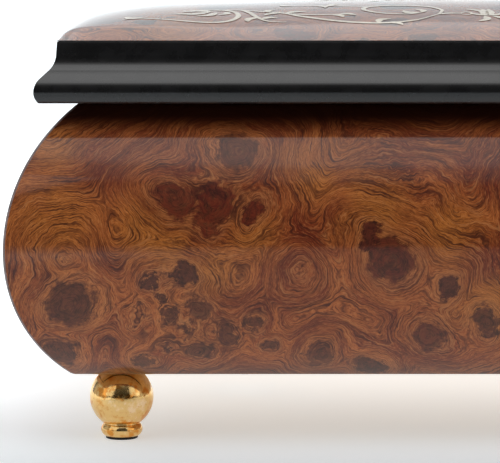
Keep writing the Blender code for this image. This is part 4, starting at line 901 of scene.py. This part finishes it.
def build_case_body(look):
    """The burl case: one continuous shell in place of its four mitred panels."""
    bm = bmesh.new()
    side_layer = wrap_case(bm)
    bmesh.ops.recalc_face_normals(bm, faces=bm.faces)
    rim = [
        edge
        for edge in bm.edges
        if all(abs(vert.co.z - BODY_TOP) < 1e-6 for vert in edge.verts)
        and corner_of(edge.verts[0]) != corner_of(edge.verts[1])
    ]
    chamfer(bm, rim, BODY_RIM_CHAMFER, 2)
    lay_veneer(bm, side_layer)
    margin = 0.0001
    inner_x = HALF_WIDTH - REBATE_INSET + margin
    inner_y = HALF_DEPTH - REBATE_INSET + margin
    mitres = []
    for edge in bm.edges:
        first, second = edge.verts
        if corner_of(first) != corner_of(second) or not edge.is_manifold:
            continue
        outside = all(abs(v.co.x) > inner_x and abs(v.co.y) > inner_y for v in edge.verts)
        level = max(v.co.z for v in edge.verts) > BODY_TOP - 0.0003
        same_side = edge.link_faces[0][side_layer] == edge.link_faces[1][side_layer]
        if outside and not level and not same_side:
            mitres.append(edge)

    # The veneer is outside only: the rim and the inner faces are lacquered, and the underside is bare
    mitre, lacquer, bare = 1, 2, 3
    for face in chamfer(bm, mitres, look.mitre_width, 3):
        face.material_index = mitre
    for face in bm.faces:
        middle = face.calc_center_median()
        inside = max(abs(middle.x) - HALF_WIDTH, abs(middle.y) - HALF_DEPTH) < -BODY_INSET_TOP - 0.0005
        if inside or middle.z > BODY_TOP - 0.00005:
            face.material_index = lacquer
        elif face.normal.z < -0.9 and middle.z < BODY_BOTTOM + margin:
            face.material_index = bare
    finishes = [finish_of(slot) for slot in ("burl_veneer", "mitre_joint_highlight", "black_lacquer", "plywood")]
    piece = finish_piece("case_body", bm, finishes, "case", outwards=False)
    carve(piece, hinge_cutters())
    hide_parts("front_panel", "back_panel", "left_panel", "right_panel")


def build_lid_edge(look):
    """The moulded black edge: bead, cove and fascia round the front and both sides."""
    section = moulding_section()

    def at(signs, rear):
        return [
            (
                signs[0] * (HALF_WIDTH - inset),
                REAR_FACE if rear else signs[1] * (HALF_DEPTH - inset),
                z,
            )
            for inset, z in section
        ]

    def beside_dome(place):
        return HALF_WIDTH - abs(place.x) < CROWN_INSET + 1e-6 or place.y < CROWN_FRONT + 1e-6

    bm = bmesh.new()
    ring, edges = start_ring(bm, at((-1, 1), True))
    bmesh.ops.contextual_create(bm, geom=edges)
    for signs, rear in (((-1, -1), False), ((1, -1), False), ((1, 1), True)):
        ring, edges = extend(bm, ring, edges)
        for vert, place in zip(ring, at(signs, rear)):
            vert.co = place
    bmesh.ops.contextual_create(bm, geom=edges)
    bmesh.ops.recalc_face_normals(bm, faces=bm.faces)
    top_edges = [
        edge
        for edge in bm.edges
        if all(abs(vert.co.z - LID_EDGE_TOP) < 1e-6 for vert in edge.verts)
        and all(beside_dome(vert.co) for vert in edge.verts)
        and edge.calc_length() > 0.02
    ]
    chamfer(bm, top_edges, FASCIA_CHAMFER, 3)
    piece = finish_piece("lid_edge", bm, (finish_of("black_lacquer"),), "lid", sharp=38, outwards=False)
    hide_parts("lid_moulding_front", "lid_moulding_left", "lid_moulding_right")


def build_lid_crown(look):
    """The domed burl top, with the plug below it that sits inside the moulded edge."""
    clear = 0.0003
    plug_x = HALF_WIDTH - INNER_INSET - clear
    plug_y = HALF_DEPTH - INNER_INSET - clear
    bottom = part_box("lid_lining")[1].z + clear
    bm = bmesh.new()
    uv_layer = bm.loops.layers.uv.new("veneer")
    bmesh.ops.create_grid(bm, x_segments=110, y_segments=84, size=1.0)
    for vert in bm.verts:
        x = CROWN_HALF_X * math.sin(vert.co.x * math.pi / 2)
        y = CROWN_MIDDLE_Y + CROWN_HALF_Y * math.sin(vert.co.y * math.pi / 2)
        vert.co = (x, y, crown_height(x, y))
    rim = [edge for edge in bm.edges if edge.is_boundary]
    for z, drawn in ((CROWN_SEAT, False), (CROWN_SEAT, True), (bottom, False)):
        grown = bmesh.ops.extrude_edge_only(bm, edges=rim)["geom"]
        for vert in (item for item in grown if isinstance(item, bmesh.types.BMVert)):
            vert.co.z = z
            if drawn:
                vert.co.x *= plug_x / CROWN_HALF_X
                vert.co.y = (vert.co.y - CROWN_MIDDLE_Y) * plug_y / CROWN_HALF_Y
        rim = [edge for edge in bm.edges if edge.is_boundary]
    bmesh.ops.contextual_create(bm, geom=rim)
    bmesh.ops.recalc_face_normals(bm, faces=bm.faces)

    # The dome is veneered, and its thin rim and the plug are lacquered
    for face in bm.faces:
        for loop in face.loops:
            loop[uv_layer].uv = (loop.vert.co.x + LID_VENEER_START, loop.vert.co.y)
        if face.calc_center_median().z < CROWN_EDGE_TOP - 1e-5:
            face.material_index = 1
    finishes = (finish_of("burl_veneer"), finish_of("black_lacquer"))
    piece = finish_piece("lid_crown_veneered", bm, finishes, "lid", outwards=False)
    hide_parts("lid_crown")


# How far the inlay stands over the dome, and the size and offset of the two scrolls at its middle
INLAY_PROUD = 0.00009
MIDDLE_SCROLL_SCALE = 0.55
MIDDLE_SCROLL_OFFSET = 0.0045


def smooth_path(points, steps):
    """Points along a Catmull-Rom curve through the given ones."""
    padded = [points[0]] + list(points) + [points[-1]]
    path = []
    for index in range(len(points) - 1):
        a, b, c, d = (Vector(point) for point in padded[index : index + 4])
        for step in range(steps):
            t = step / steps
            second = (2 * a - 5 * b + 4 * c - d) * t**2
            third = (3 * b - a - 3 * c + d) * t**3
            path.append(0.5 * (2 * b + (c - a) * t + second + third))
    path.append(Vector(points[-1]))
    return path


def ribbon(bm, points, width, start, end, belly):
    """A flat inlaid strip along a curve on the dome, widest at belly and drawn in at its ends."""
    path = smooth_path(points, steps=10)
    count = len(path) - 1
    ring = None
    edges = None
    for index, middle in enumerate(path):
        before = path[max(0, index - 1)]
        after = path[min(count, index + 1)]
        along = (after - before).normalized()
        across = Vector((-along.y, along.x))
        share = index / count
        rise = share / belly if share < belly else (1 - share) / (1 - belly)
        low = start if share < belly else end
        half = width / 2 * (low + (1 - low) * math.sin(math.pi / 2 * min(1.0, rise)))
        places = [middle + across * half, middle - across * half]
        spots = [(spot.x, spot.y, crown_height(spot.x, spot.y) + INLAY_PROUD) for spot in places]
        if ring is None:
            ring, edges = start_ring(bm, spots, closed=False)
            continue
        ring, edges = extend(bm, ring, edges)
        for vert, spot in zip(ring, spots):
            vert.co = spot


def leaf(bm, foot, tip, width, bend):
    """A pointed leaf from foot to tip, bent to one side."""
    foot = Vector(foot)
    tip = Vector(tip)
    along = tip - foot
    across = Vector((-along.y, along.x))
    ribbon(bm, (foot, (foot + tip) / 2 + across * bend, tip), width, 0.06, 0.02, 0.42)


def scroll_half(bm, turn):
    """One half of the front's scroll, in millimetres from the middle of the front edge of the dome.

    turn maps a point of that drawing to the dome.
    """
    strokes = (
        (((73.5, 17.0), (67.6, 14.8), (60.0, 12.4), (55.0, 13.6), (52.7, 18.6), (53.8, 24.4), (57.8, 27.2),
          (62.0, 26.2), (62.8, 23.8)), 1.15, 0.45),
        (((57.0, 26.2), (52.6, 26.8), (50.4, 23.4), (49.0, 18.6), (46.6, 14.0), (42.6, 12.8)), 1.15, 0.4),
        (((52.4, 26.6), (48.0, 24.4), (43.2, 21.8), (38.4, 17.2), (30.4, 12.8), (22.4, 11.6), (15.4, 14.0),
          (10.4, 19.2)), 1.20, 0.55),
        (((10.4, 19.2), (9.4, 23.8), (12.4, 28.4), (19.2, 30.2), (24.8, 28.2), (25.8, 24.2), (22.4, 20.6),
          (17.0, 19.4), (13.6, 21.2)), 1.15, 0.4),
        (((10.4, 19.2), (7.8, 20.2), (5.4, 19.9)), 1.05, 0.5),
        (((3.6, 19.8), (1.6, 18.6), (0.0, 18.0)), 1.05, 0.5),
        (((5.6, 19.9), (5.2, 21.0), (4.4, 21.4), (3.5, 20.8), (3.4, 19.6), (4.2, 18.7), (5.2, 18.9),
          (5.6, 19.9)), 0.60, 0.5),
        (((45.0, 22.6), (39.0, 19.8), (33.0, 19.2), (29.6, 20.4)), 0.80, 0.4),
        (((42.0, 32.0), (36.0, 31.2), (30.0, 29.8), (25.0, 28.4)), 0.90, 0.5),
    )
    for points, width, belly in strokes:
        ribbon(bm, [turn(point) for point in points], width / 1000, 0.45, 0.20, belly)
    leaves = (
        ((72.8, 16.8), (76.6, 19.6), 1.9, 0.25),
        ((72.0, 16.4), (76.8, 15.6), 1.5, -0.25),
        ((58.6, 24.6), (66.4, 22.0), 2.2, 0.22),
        ((58.0, 24.6), (64.8, 24.4), 2.0, -0.20),
        ((57.4, 23.2), (61.8, 18.8), 1.9, 0.20),
        ((55.2, 24.2), (57.0, 20.4), 1.6, 0.25),
        ((47.6, 16.0), (44.4, 17.0), 1.6, 0.25),
        ((48.4, 17.4), (50.6, 13.4), 1.8, -0.25),
        ((46.4, 23.4), (44.8, 26.4), 1.7, 0.25),
        ((42.6, 21.4), (38.2, 23.0), 1.7, 0.20),
        ((43.6, 22.0), (47.2, 19.6), 1.4, -0.20),
        ((33.0, 19.2), (30.6, 16.6), 1.5, 0.25),
        ((31.4, 19.6), (27.8, 18.6), 1.5, 0.25),
        ((23.4, 11.8), (20.6, 15.0), 1.6, 0.30),
        ((21.6, 11.8), (18.4, 10.0), 1.5, 0.25),
        ((14.2, 20.8), (17.6, 23.4), 1.9, 0.30),
        ((13.8, 21.2), (15.0, 24.6), 1.5, -0.30),
        ((36.4, 31.2), (34.0, 27.8), 1.7, 0.25),
        ((33.0, 30.4), (30.6, 33.2), 1.7, 0.25),
        ((40.4, 31.8), (43.8, 34.4), 1.6, 0.25),
        ((0.6, 18.2), (0.6, 24.6), 2.0, 0.0),
        ((1.2, 18.4), (4.4, 25.0), 1.5, -0.25),
        ((0.8, 17.4), (2.6, 12.8), 1.6, 0.25),
    )
    for foot, tip, width, bend in leaves:
        leaf(bm, turn(foot), turn(tip), width / 1000, bend)


def build_scroll_inlay(look):
    """A traditional scroll of stems and leaves, inlaid round the dome and at its middle."""
    bm = bmesh.new()
    small = MIDDLE_SCROLL_SCALE
    scrolls = (
        (1.0, CROWN_FRONT, 1),
        (1.0, CROWN_REAR, -1),
        (small, CROWN_MIDDLE_Y - MIDDLE_SCROLL_OFFSET, 1),
        (small, CROWN_MIDDLE_Y + MIDDLE_SCROLL_OFFSET, -1),
    )
    for side in (-1, 1):
        for size, line, way in scrolls:
            across = side * size / 1000
            inwards = way * size / 1000
            scroll_half(bm, lambda p, a=across, b=inwards, y=line: (a * p[0], y + b * p[1]))
    for face in bm.faces:
        face.normal_update()
        if face.normal.z < 0:
            face.normal_flip()
    piece = finish_piece("scroll_inlay", bm, (finish_of("pale_inlay"),), "lid", outwards=False)


# A foot's ball, the neck under it, and the lower bulge that stands on the pad
BALL_HEIGHT = 0.0088
NECK_RADIUS = 0.0040
NECK_GROOVE = 0.00022
FOOT_BULGE_CENTRE = (0.0028, 0.00195)
FOOT_BULGE_RADIUS = 0.0016
FOOT_FACE_RADIUS = 0.0031
FOOT_FACE_HEIGHT = 0.00042
PAD_HEIGHT = 0.00040
PAD_FLAT_RADIUS = 0.0032


def build_feet(look):
    """Four turned gold feet, each one spin of a finer profile, and their felt pads."""
    for place in ("front_left", "front_right", "back_left", "back_right"):
        low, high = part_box("foot_" + place)
        centre = ((low.x + high.x) / 2, (low.y + high.y) / 2)
        ball_radius = (high.x - low.x) / 2
        seat = BODY_BOTTOM - 0.00005
        seat_angle = math.asin((seat - BALL_HEIGHT) / ball_radius)
        neck_angle = -math.acos(NECK_RADIUS / ball_radius)
        neck = BALL_HEIGHT + ball_radius * math.sin(neck_angle)
        groove = (NECK_RADIUS + 0.0001, neck - 0.0001)
        profile = [
            (0.0, seat),
            *arc((0.0, BALL_HEIGHT), ball_radius, seat_angle, neck_angle, 34),
            *arc(groove, NECK_GROOVE, math.radians(150), math.radians(215), 4),
            *arc(FOOT_BULGE_CENTRE, FOOT_BULGE_RADIUS, math.radians(64), math.radians(-70), 16),
            (FOOT_FACE_RADIUS, FOOT_FACE_HEIGHT),
            (0.0, FOOT_FACE_HEIGHT),
        ]
        gold = finish_of("polished_gold")
        piece = turned("foot_turned_" + place, profile, gold, "case", centre, 64, sharp=40)
        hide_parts("foot_" + place)
        pad_rim = (PAD_FLAT_RADIUS, PAD_HEIGHT / 2)
        pad_profile = [
            (0.0, PAD_HEIGHT),
            (PAD_FLAT_RADIUS, PAD_HEIGHT),
            *arc(pad_rim, PAD_HEIGHT / 2, math.radians(80), math.radians(-80), 6),
            (FOOT_FACE_RADIUS, 0.0),
            (0.0, 0.0),
        ]
        pad = turned("foot_felt_" + place, pad_profile, finish_of("felt"), "case", centre, 40, sharp=60)
        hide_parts("foot_pad_" + place)


def velvet_slab(name, node, body, swell, cell=0.006, edge=0.0003):
    """A velvet-covered slab in place of a frame node, with rounded edges and a slight swell."""
    low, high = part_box(node)
    size = high - low
    bm = bmesh.new()
    box_mesh(bm, low, high)
    for axis in range(3):
        step = Vector([1.0 if index == axis else 0.0 for index in range(3)])
        cuts = min(40, int(size[axis] / cell))
        for index in range(1, cuts):
            bmesh.ops.bisect_plane(
                bm,
                geom=bm.verts[:] + bm.edges[:] + bm.faces[:],
                plane_co=low + step * size[axis] * index / cuts,
                plane_no=step,
            )
    middle = (low + high) / 2
    thin = min(range(3), key=lambda axis: size[axis])
    for vert in bm.verts:
        share = [
            abs(vert.co[axis] - middle[axis]) / (size[axis] / 2)
            for axis in range(3)
            if axis != thin
        ]
        crowned = (1 - share[0] ** 6) * (1 - share[1] ** 6)
        draw = swell * (1 - crowned)
        vert.co[thin] -= math.copysign(draw, vert.co[thin] - middle[thin])
    outline = [edge for edge in bm.edges if edge.calc_face_angle(0.0) > math.radians(60)]
    chamfer(bm, outline, edge, 3)
    piece = finish_piece(name, bm, (finish_of("velvet"),), body, sharp=50)
    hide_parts(node)
    return piece


def build_linings(look):
    """Velvet over card on the walls, floor, divider and ring tray."""
    for node in ("lining_floor", "lining_front", "lining_back", "lining_left", "lining_right"):
        velvet_slab("velvet_" + node, node, "case", 0.0001)
    for node in ("ring_divider", "ring_tray"):
        velvet_slab("velvet_" + node, node, "case", 0.0002, edge=0.0006)


def ring_roll_profile(radius, half):
    """A roll's outline of (radius, place along it): shallow round ends, and seven soft dents between."""
    end_depth = 0.55
    dent = 0.012
    quarter = arc((0.0, 0.0), 1.0, 0.0, math.pi / 2, 9)
    end = [(radius * out, half - radius * end_depth * (1 - along)) for along, out in quarter]
    run = []
    for step in range(41):
        t = step / 40
        along = half * (0.9 - 1.8 * t)
        if abs(along) < half - radius:
            run.append((radius * (1 - dent * math.sin(math.pi * 7 * t) ** 2), along))
    return end + run + [(out, -along) for out, along in reversed(end)]


def build_ring_rolls(look):
    """Foam rolls in velvet, with slight dents along them and rounded ends."""
    for index in range(1, 5):
        node = f"ring_roll_{index}"
        low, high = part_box(node)
        middle = (low + high) / 2
        profile = ring_roll_profile((high.z - low.z) / 2, (high.x - low.x) / 2)
        bm = bmesh.new()
        ring, edges = start_ring(bm, [(along, out, 0.0) for out, along in profile], closed=False)
        bmesh.ops.spin(
            bm, geom=ring + edges, cent=(0.0, 0.0, 0.0), axis=(1.0, 0.0, 0.0),
            angle=2 * math.pi, steps=40, use_merge=True,
        )
        bmesh.ops.remove_doubles(bm, verts=bm.verts, dist=0.000002)
        bmesh.ops.translate(bm, vec=middle, verts=bm.verts)
        piece = finish_piece(f"ring_roll_soft_{index}", bm, (finish_of("velvet"),), "case", sharp=60)
        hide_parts(node)


def build_lid_pad(look):
    """The padded velvet lining under the lid."""
    piece = velvet_slab("lid_pad", "lid_lining", "lid", 0.0016, cell=0.004, edge=0.0010)


# The worm's thread: module of the wheel it drives, how far it starts over the wheel's lowest point and
# stops under its highest, and its section's radii and heights
WORM_MODULE = 0.00036
WORM_START = 0.0012
WORM_STOP = 0.0004
WORM_SECTION = ((0.00074, 0.0), (0.00104, 0.00022), (0.00104, 0.00030), (0.00074, 0.00052))


def build_worm(look):
    """The worm's thread round the fan's shaft, which the governor wheel turns."""
    wheel_low, wheel_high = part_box("governor_wheel")
    fan_low, fan_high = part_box("governor_fan")
    x = (fan_low.x + fan_high.x) / 2
    y = (fan_low.y + fan_high.y) / 2
    pitch = math.pi * WORM_MODULE
    bottom = wheel_low.z + WORM_START
    turns = int((wheel_high.z - WORM_STOP - bottom) / pitch)
    steps = 28 * turns
    bm = bmesh.new()
    ring, edges = start_ring(bm, [(x + radius, y, bottom + z) for radius, z in WORM_SECTION])
    bmesh.ops.contextual_create(bm, geom=edges)
    last = bmesh.ops.spin(
        bm,
        geom=ring + edges,
        cent=(x, y, 0.0),
        axis=(0.0, 0.0, 1.0),
        dvec=(0.0, 0.0, pitch * turns / steps),
        angle=2 * math.pi * turns,
        steps=steps,
        use_merge=False,
    )["geom_last"]
    bmesh.ops.contextual_create(bm, geom=[item for item in last if isinstance(item, bmesh.types.BMEdge)])
    piece = finish_piece("fan_worm_thread", bm, (finish_of("steel"),), "fan", sharp=50)


def finish_inside(look):
    """Materials for the frame nodes that stay in view."""
    steel = (
        "comb", "music", "mount", "hinge", "stop", "winding",
        "governor_wheel", "cylinder_arbor", "mainspring",
    )
    slots = {
        "lid_moulding_back": "black_lacquer",
        "bottom_panel": "plywood",
        "movement_partition": "plywood",
        "movement_cover": "clear_acrylic",
        "movement_bedplate": "cast_zinc",
        "governor_fan": "black_plastic",
        "spring_barrel": "brass",
        "pinned_cylinder": "brass",
        "cylinder_wheel": "brass",
        "governor_frame": "brass",
    }
    for name in NODES:
        if name in slots:
            coat_node(name, slots[name])
        elif "ledge" in name:
            coat_node(name, "plywood")
        elif name.startswith("hinge") and "pin" not in name:
            coat_node(name, "brass")
        elif name.startswith(steel):
            coat_node(name, "steel")


# The room's soft light: which way it lies, and how bright the room is by the cosine of the angle from it
ROOM_LIGHT_WAY = (0.0, -0.28, 0.96)
ROOM_STOPS = ((0.0, 0.02), (0.60, 0.03), (0.84, 0.07), (0.93, 0.42), (0.97, 0.95), (1.0, 0.95))

# How brightly the table is lit from below, from a metre in front of the box to a metre behind it
GLOW_STOPS = ((0.0, 0.0), (0.39, 0.0), (0.44, 0.22), (0.475, 0.50), (0.52, 0.84), (0.60, 1.0))

# The table's half width, its front end, the radius of its bend, and the backdrop's place and top
STAGE_HALF_WIDTH = 5.0
STAGE_FRONT = -4.0
STAGE_BEND = 0.4
STAGE_WALL = 4.0
STAGE_TOP = 8.0


def floor_material(look):
    """A translucent pale table and backdrop, lit from below behind and beside the box."""
    g = Graph("pale_floor")
    split = g.add("ShaderNodeSeparateXYZ")
    g.feed(split.inputs[0], g.place())
    along = g.steps(g.span(split.outputs["Y"], -1.0, 1.0, smooth=False), GLOW_STOPS)
    beside = g.span(g.math("ABSOLUTE", split.outputs["X"]), 0.095, 0.200, 0.0, 0.85)
    along = g.math("MAXIMUM", along, g.math("MULTIPLY", beside, g.span(split.outputs["Y"], -0.7, -0.3)))
    higher = g.span(split.outputs["Z"], 0.25, 1.50, 1.0, 0.45)
    glow = g.math("MULTIPLY", g.math("MULTIPLY", along, higher), look.table_glow)
    return g.set(
        colour=g.mix(g.noise(g.place(), 3.0, 1.0, 0.5), look.floor, tuple(0.99 * v for v in look.floor)),
        roughness=0.9, specular=0.1, glow=glow, glow_colour=(0.94, 0.98, 1.0),
    )


def soft_room(look):
    """A dark room with one large soft light high up in front and pale walls far to either side."""
    g = Graph("soft_room", room=True)
    way = g.add("ShaderNodeTexCoord").outputs["Generated"]
    level = g.steps(g.vector("DOT_PRODUCT", way, ROOM_LIGHT_WAY), ROOM_STOPS)
    aside = g.math("ABSOLUTE", g.vector("DOT_PRODUCT", way, (1.0, 0.0, 0.0)))
    level = g.math("MAXIMUM", level, g.span(aside, 0.72, 0.92, 0.0, 0.30))
    g.feed(g.shader.inputs["Color"], level)
    g.shader.inputs["Strength"].default_value = look.room_light
    return g.material


def panel_light(name, place, target, size, power):
    """A flat soft box of (width, height) at a place, turned to a target."""
    light = bpy.data.lights.new(name, "AREA")
    light.shape = "RECTANGLE"
    light.size = size[0]
    light.size_y = size[1]
    light.energy = power
    lamp = bpy.data.objects.new(name, light)
    bpy.context.scene.collection.objects.link(lamp)
    lamp.location = place
    lamp.rotation_euler = (Vector(target) - Vector(place)).to_track_quat("-Z", "Y").to_euler()


def build_stage(look):
    """A pale floor that curves up into a backdrop, the room, three soft boxes and the camera."""
    bm = bmesh.new()
    sides = (-STAGE_HALF_WIDTH, STAGE_HALF_WIDTH)
    ring, edges = start_ring(bm, [(x, STAGE_FRONT, 0.0) for x in sides], closed=False)
    line = arc((STAGE_WALL - STAGE_BEND, STAGE_BEND), STAGE_BEND, -math.pi / 2, 0.0, 13)
    for y, z in line + [(STAGE_WALL, STAGE_TOP)]:
        ring, edges = extend(bm, ring, edges)
        for vert, x in zip(ring, sides):
            vert.co = (x, y, z)
    bmesh.ops.recalc_face_normals(bm, faces=bm.faces)
    mesh = bpy.data.meshes.new("backdrop")
    bm.to_mesh(mesh)
    bm.free()
    mesh.shade_smooth()
    backdrop = link_object("backdrop", mesh, (floor_material(look),))
    if sum(face.normal.z for face in mesh.polygons) < 0:
        mesh.flip_normals()
    bpy.context.scene.world = soft_room(look)

    # One soft box over and behind the box, and one before it on either side
    panel_light("overhead", (0.0, 0.36, 0.55), (0.0, 0.30, 0.0), (1.8, 0.75), look.overhead_light)
    for name, x in (("side_left", -0.69), ("side_right", 0.69)):
        panel_light(name, (x, -0.58, 0.46), (0.0, 0.0, 0.02), (0.7, 0.8), look.side_light)

    bpy.context.scene.view_settings.view_transform = "Standard"
    camera = bpy.data.cameras.new("camera")
    camera.sensor_width = 36.0
    camera.lens = 180.0
    camera.clip_start = 0.02
    eye = bpy.data.objects.new("camera", camera)
    bpy.context.scene.collection.objects.link(eye)
    eye.location = (-0.0502, -0.570, 0.0928)
    eye.rotation_euler = (math.radians(90 - look.camera_pitch), 0.0, 0.0)
    bpy.context.scene.camera = eye


def colour_setting(label, text, default):
    """A colour among the add-on's settings."""
    return FloatVectorProperty(
        name=label, description=text, default=default, subtype="COLOR", size=3, min=0.0, max=1.0
    )


class JewelryBoxLook(bpy.types.PropertyGroup):
    """Sizes, colours and light that a user would change."""

    burl_light: colour_setting("Burl Light", "Light brown of the burl", (0.46, 0.122, 0.028))
    burl_mid: colour_setting("Burl Middle", "Middle brown of the burl", (0.235, 0.044, 0.011))
    burl_pale: colour_setting("Burl Pale", "Straw-coloured strands of the burl", (0.60, 0.235, 0.078))
    burl_gold: colour_setting("Burl Gold", "Golden patches of the burl", (0.54, 0.178, 0.028))
    burl_red: colour_setting("Burl Red", "Wine-red patches of the burl", (0.155, 0.012, 0.0035))
    burl_dark: colour_setting("Burl Lines", "Dark strands of the burl", (0.055, 0.010, 0.0045))
    burl_core: colour_setting("Burl Cores", "Purple-brown of the eyes", (0.085, 0.020, 0.011))
    burl_eye: colour_setting("Burl Eyes", "Darkest hearts of the eyes", (0.024, 0.006, 0.004))
    # Colour of the painted shade under the lid and along the case's lower edge
    burl_painted_shade: colour_setting("Burl Shading", "Dark toning near the case's edges", (0.022, 0.004, 0.002))
    lacquer: colour_setting("Lacquer", "Black lacquer of the lid's edge", (0.0035, 0.0032, 0.0034))
    gold: colour_setting("Foot Plating", "Gold plate of the feet", (0.86, 0.56, 0.22))
    velvet: colour_setting("Velvet", "Lining and rolls", (0.16, 0.008, 0.018))
    inlay: colour_setting("Inlay", "Pale scroll in the lid", (0.96, 0.82, 0.63))
    floor: colour_setting("Floor", "Pale floor and backdrop", (0.73, 0.775, 0.80))
    ring_density: FloatProperty(
        name="Ring Density", description="Contour lines per step of the burl's field",
        default=1.0, min=0.1, max=5.0,
    )
    mitre_width: FloatProperty(
        name="Mitre Rounding", description="Width of the rounding on the case's corners",
        default=0.0005, min=0.0001, max=0.002, unit="LENGTH",
    )
    room_light: FloatProperty(
        name="Room Light", description="Brightness of the room's soft light", default=1.7, min=0.0
    )
    table_glow: FloatProperty(
        name="Table Glow", description="How far the translucent table and backdrop are lit from below",
        default=0.83, min=0.0,
    )
    overhead_light: FloatProperty(
        name="Overhead Light", description="Soft box over and behind the box, in watts",
        default=2.5, min=0.0,
    )
    side_light: FloatProperty(
        name="Side Lights", description="Soft box at either side, in watts", default=1.5, min=0.0
    )
    camera_pitch: FloatProperty(
        name="Camera Pitch", description="How far the camera looks down, in degrees",
        default=5.4, min=-90.0, max=90.0,
    )


class JEWELRYBOX_OT_case_body(bpy.types.Operator):
    """Wrap the veneered case round its four mitred corners"""

    bl_idname = "jewelry_box.case_body"
    bl_label = "Burl Case"
    bl_options = {"REGISTER", "UNDO"}

    def execute(self, context):
        build_case_body(context.scene.jewelry_box_look)
        return {"FINISHED"}


class JEWELRYBOX_OT_lid_edge(bpy.types.Operator):
    """Sweep the black moulding round the lid"""

    bl_idname = "jewelry_box.lid_edge"
    bl_label = "Lid Edge"
    bl_options = {"REGISTER", "UNDO"}

    def execute(self, context):
        build_lid_edge(context.scene.jewelry_box_look)
        return {"FINISHED"}


class JEWELRYBOX_OT_lid_crown(bpy.types.Operator):
    """Raise the veneered dome of the lid"""

    bl_idname = "jewelry_box.lid_crown"
    bl_label = "Lid Crown"
    bl_options = {"REGISTER", "UNDO"}

    def execute(self, context):
        build_lid_crown(context.scene.jewelry_box_look)
        return {"FINISHED"}


class JEWELRYBOX_OT_scroll_inlay(bpy.types.Operator):
    """Inlay the pale scroll in the lid"""

    bl_idname = "jewelry_box.scroll_inlay"
    bl_label = "Scroll Inlay"
    bl_options = {"REGISTER", "UNDO"}

    def execute(self, context):
        build_scroll_inlay(context.scene.jewelry_box_look)
        return {"FINISHED"}


class JEWELRYBOX_OT_feet(bpy.types.Operator):
    """Spin the four gold feet and their felt pads"""

    bl_idname = "jewelry_box.feet"
    bl_label = "Turned Feet"
    bl_options = {"REGISTER", "UNDO"}

    def execute(self, context):
        build_feet(context.scene.jewelry_box_look)
        return {"FINISHED"}


class JEWELRYBOX_OT_linings(bpy.types.Operator):
    """Cover the walls, floor, divider and ring tray with velvet"""

    bl_idname = "jewelry_box.linings"
    bl_label = "Linings"
    bl_options = {"REGISTER", "UNDO"}

    def execute(self, context):
        build_linings(context.scene.jewelry_box_look)
        return {"FINISHED"}


class JEWELRYBOX_OT_ring_rolls(bpy.types.Operator):
    """Fill the tray with four soft ring rolls"""

    bl_idname = "jewelry_box.ring_rolls"
    bl_label = "Ring Rolls"
    bl_options = {"REGISTER", "UNDO"}

    def execute(self, context):
        build_ring_rolls(context.scene.jewelry_box_look)
        return {"FINISHED"}


class JEWELRYBOX_OT_lid_pad(bpy.types.Operator):
    """Pad the underside of the lid with velvet"""

    bl_idname = "jewelry_box.lid_pad"
    bl_label = "Lid Pad"
    bl_options = {"REGISTER", "UNDO"}

    def execute(self, context):
        build_lid_pad(context.scene.jewelry_box_look)
        return {"FINISHED"}


class JEWELRYBOX_OT_worm(bpy.types.Operator):
    """Wind the worm's thread round the fan's shaft"""

    bl_idname = "jewelry_box.worm"
    bl_label = "Worm Thread"
    bl_options = {"REGISTER", "UNDO"}

    def execute(self, context):
        build_worm(context.scene.jewelry_box_look)
        return {"FINISHED"}


class JEWELRYBOX_OT_frame_finish(bpy.types.Operator):
    """Give the frame's own metal, wood and acrylic their materials"""

    bl_idname = "jewelry_box.frame_finish"
    bl_label = "Frame Finish"
    bl_options = {"REGISTER", "UNDO"}

    def execute(self, context):
        finish_inside(context.scene.jewelry_box_look)
        return {"FINISHED"}


class JEWELRYBOX_OT_stage(bpy.types.Operator):
    """Set the floor, backdrop, light and camera"""

    bl_idname = "jewelry_box.stage"
    bl_label = "Stage"
    bl_options = {"REGISTER", "UNDO"}

    def execute(self, context):
        build_stage(context.scene.jewelry_box_look)
        return {"FINISHED"}


OPERATORS = (
    JEWELRYBOX_OT_case_body,
    JEWELRYBOX_OT_lid_edge,
    JEWELRYBOX_OT_lid_crown,
    JEWELRYBOX_OT_scroll_inlay,
    JEWELRYBOX_OT_feet,
    JEWELRYBOX_OT_linings,
    JEWELRYBOX_OT_ring_rolls,
    JEWELRYBOX_OT_lid_pad,
    JEWELRYBOX_OT_worm,
    JEWELRYBOX_OT_frame_finish,
    JEWELRYBOX_OT_stage,
)


class JEWELRYBOX_PT_sidebar(bpy.types.Panel):
    """Lists the pieces of the jewelry box and its settings"""

    bl_idname = "JEWELRYBOX_PT_sidebar"
    bl_label = "Jewelry Box"
    bl_space_type = "VIEW_3D"
    bl_region_type = "UI"
    bl_category = "Jewelry Box"

    def draw(self, context):
        column = self.layout.column(align=True)
        for operator in OPERATORS:
            column.operator(operator.bl_idname)
        look = context.scene.jewelry_box_look
        for name in look.bl_rna.properties.keys():
            if name not in {"rna_type", "name"}:
                self.layout.prop(look, name)


CLASSES = (JewelryBoxLook, *OPERATORS, JEWELRYBOX_PT_sidebar)


def register():
    for item in CLASSES:
        bpy.utils.register_class(item)
    bpy.types.Scene.jewelry_box_look = PointerProperty(type=JewelryBoxLook)


def unregister():
    del bpy.types.Scene.jewelry_box_look
    for item in reversed(CLASSES):
        bpy.utils.unregister_class(item)


def main():
    register()
    for operator in OPERATORS:
        family, name = operator.bl_idname.split(".")
        getattr(getattr(bpy.ops, family), name)()


if __name__ == "__main__":
    main()
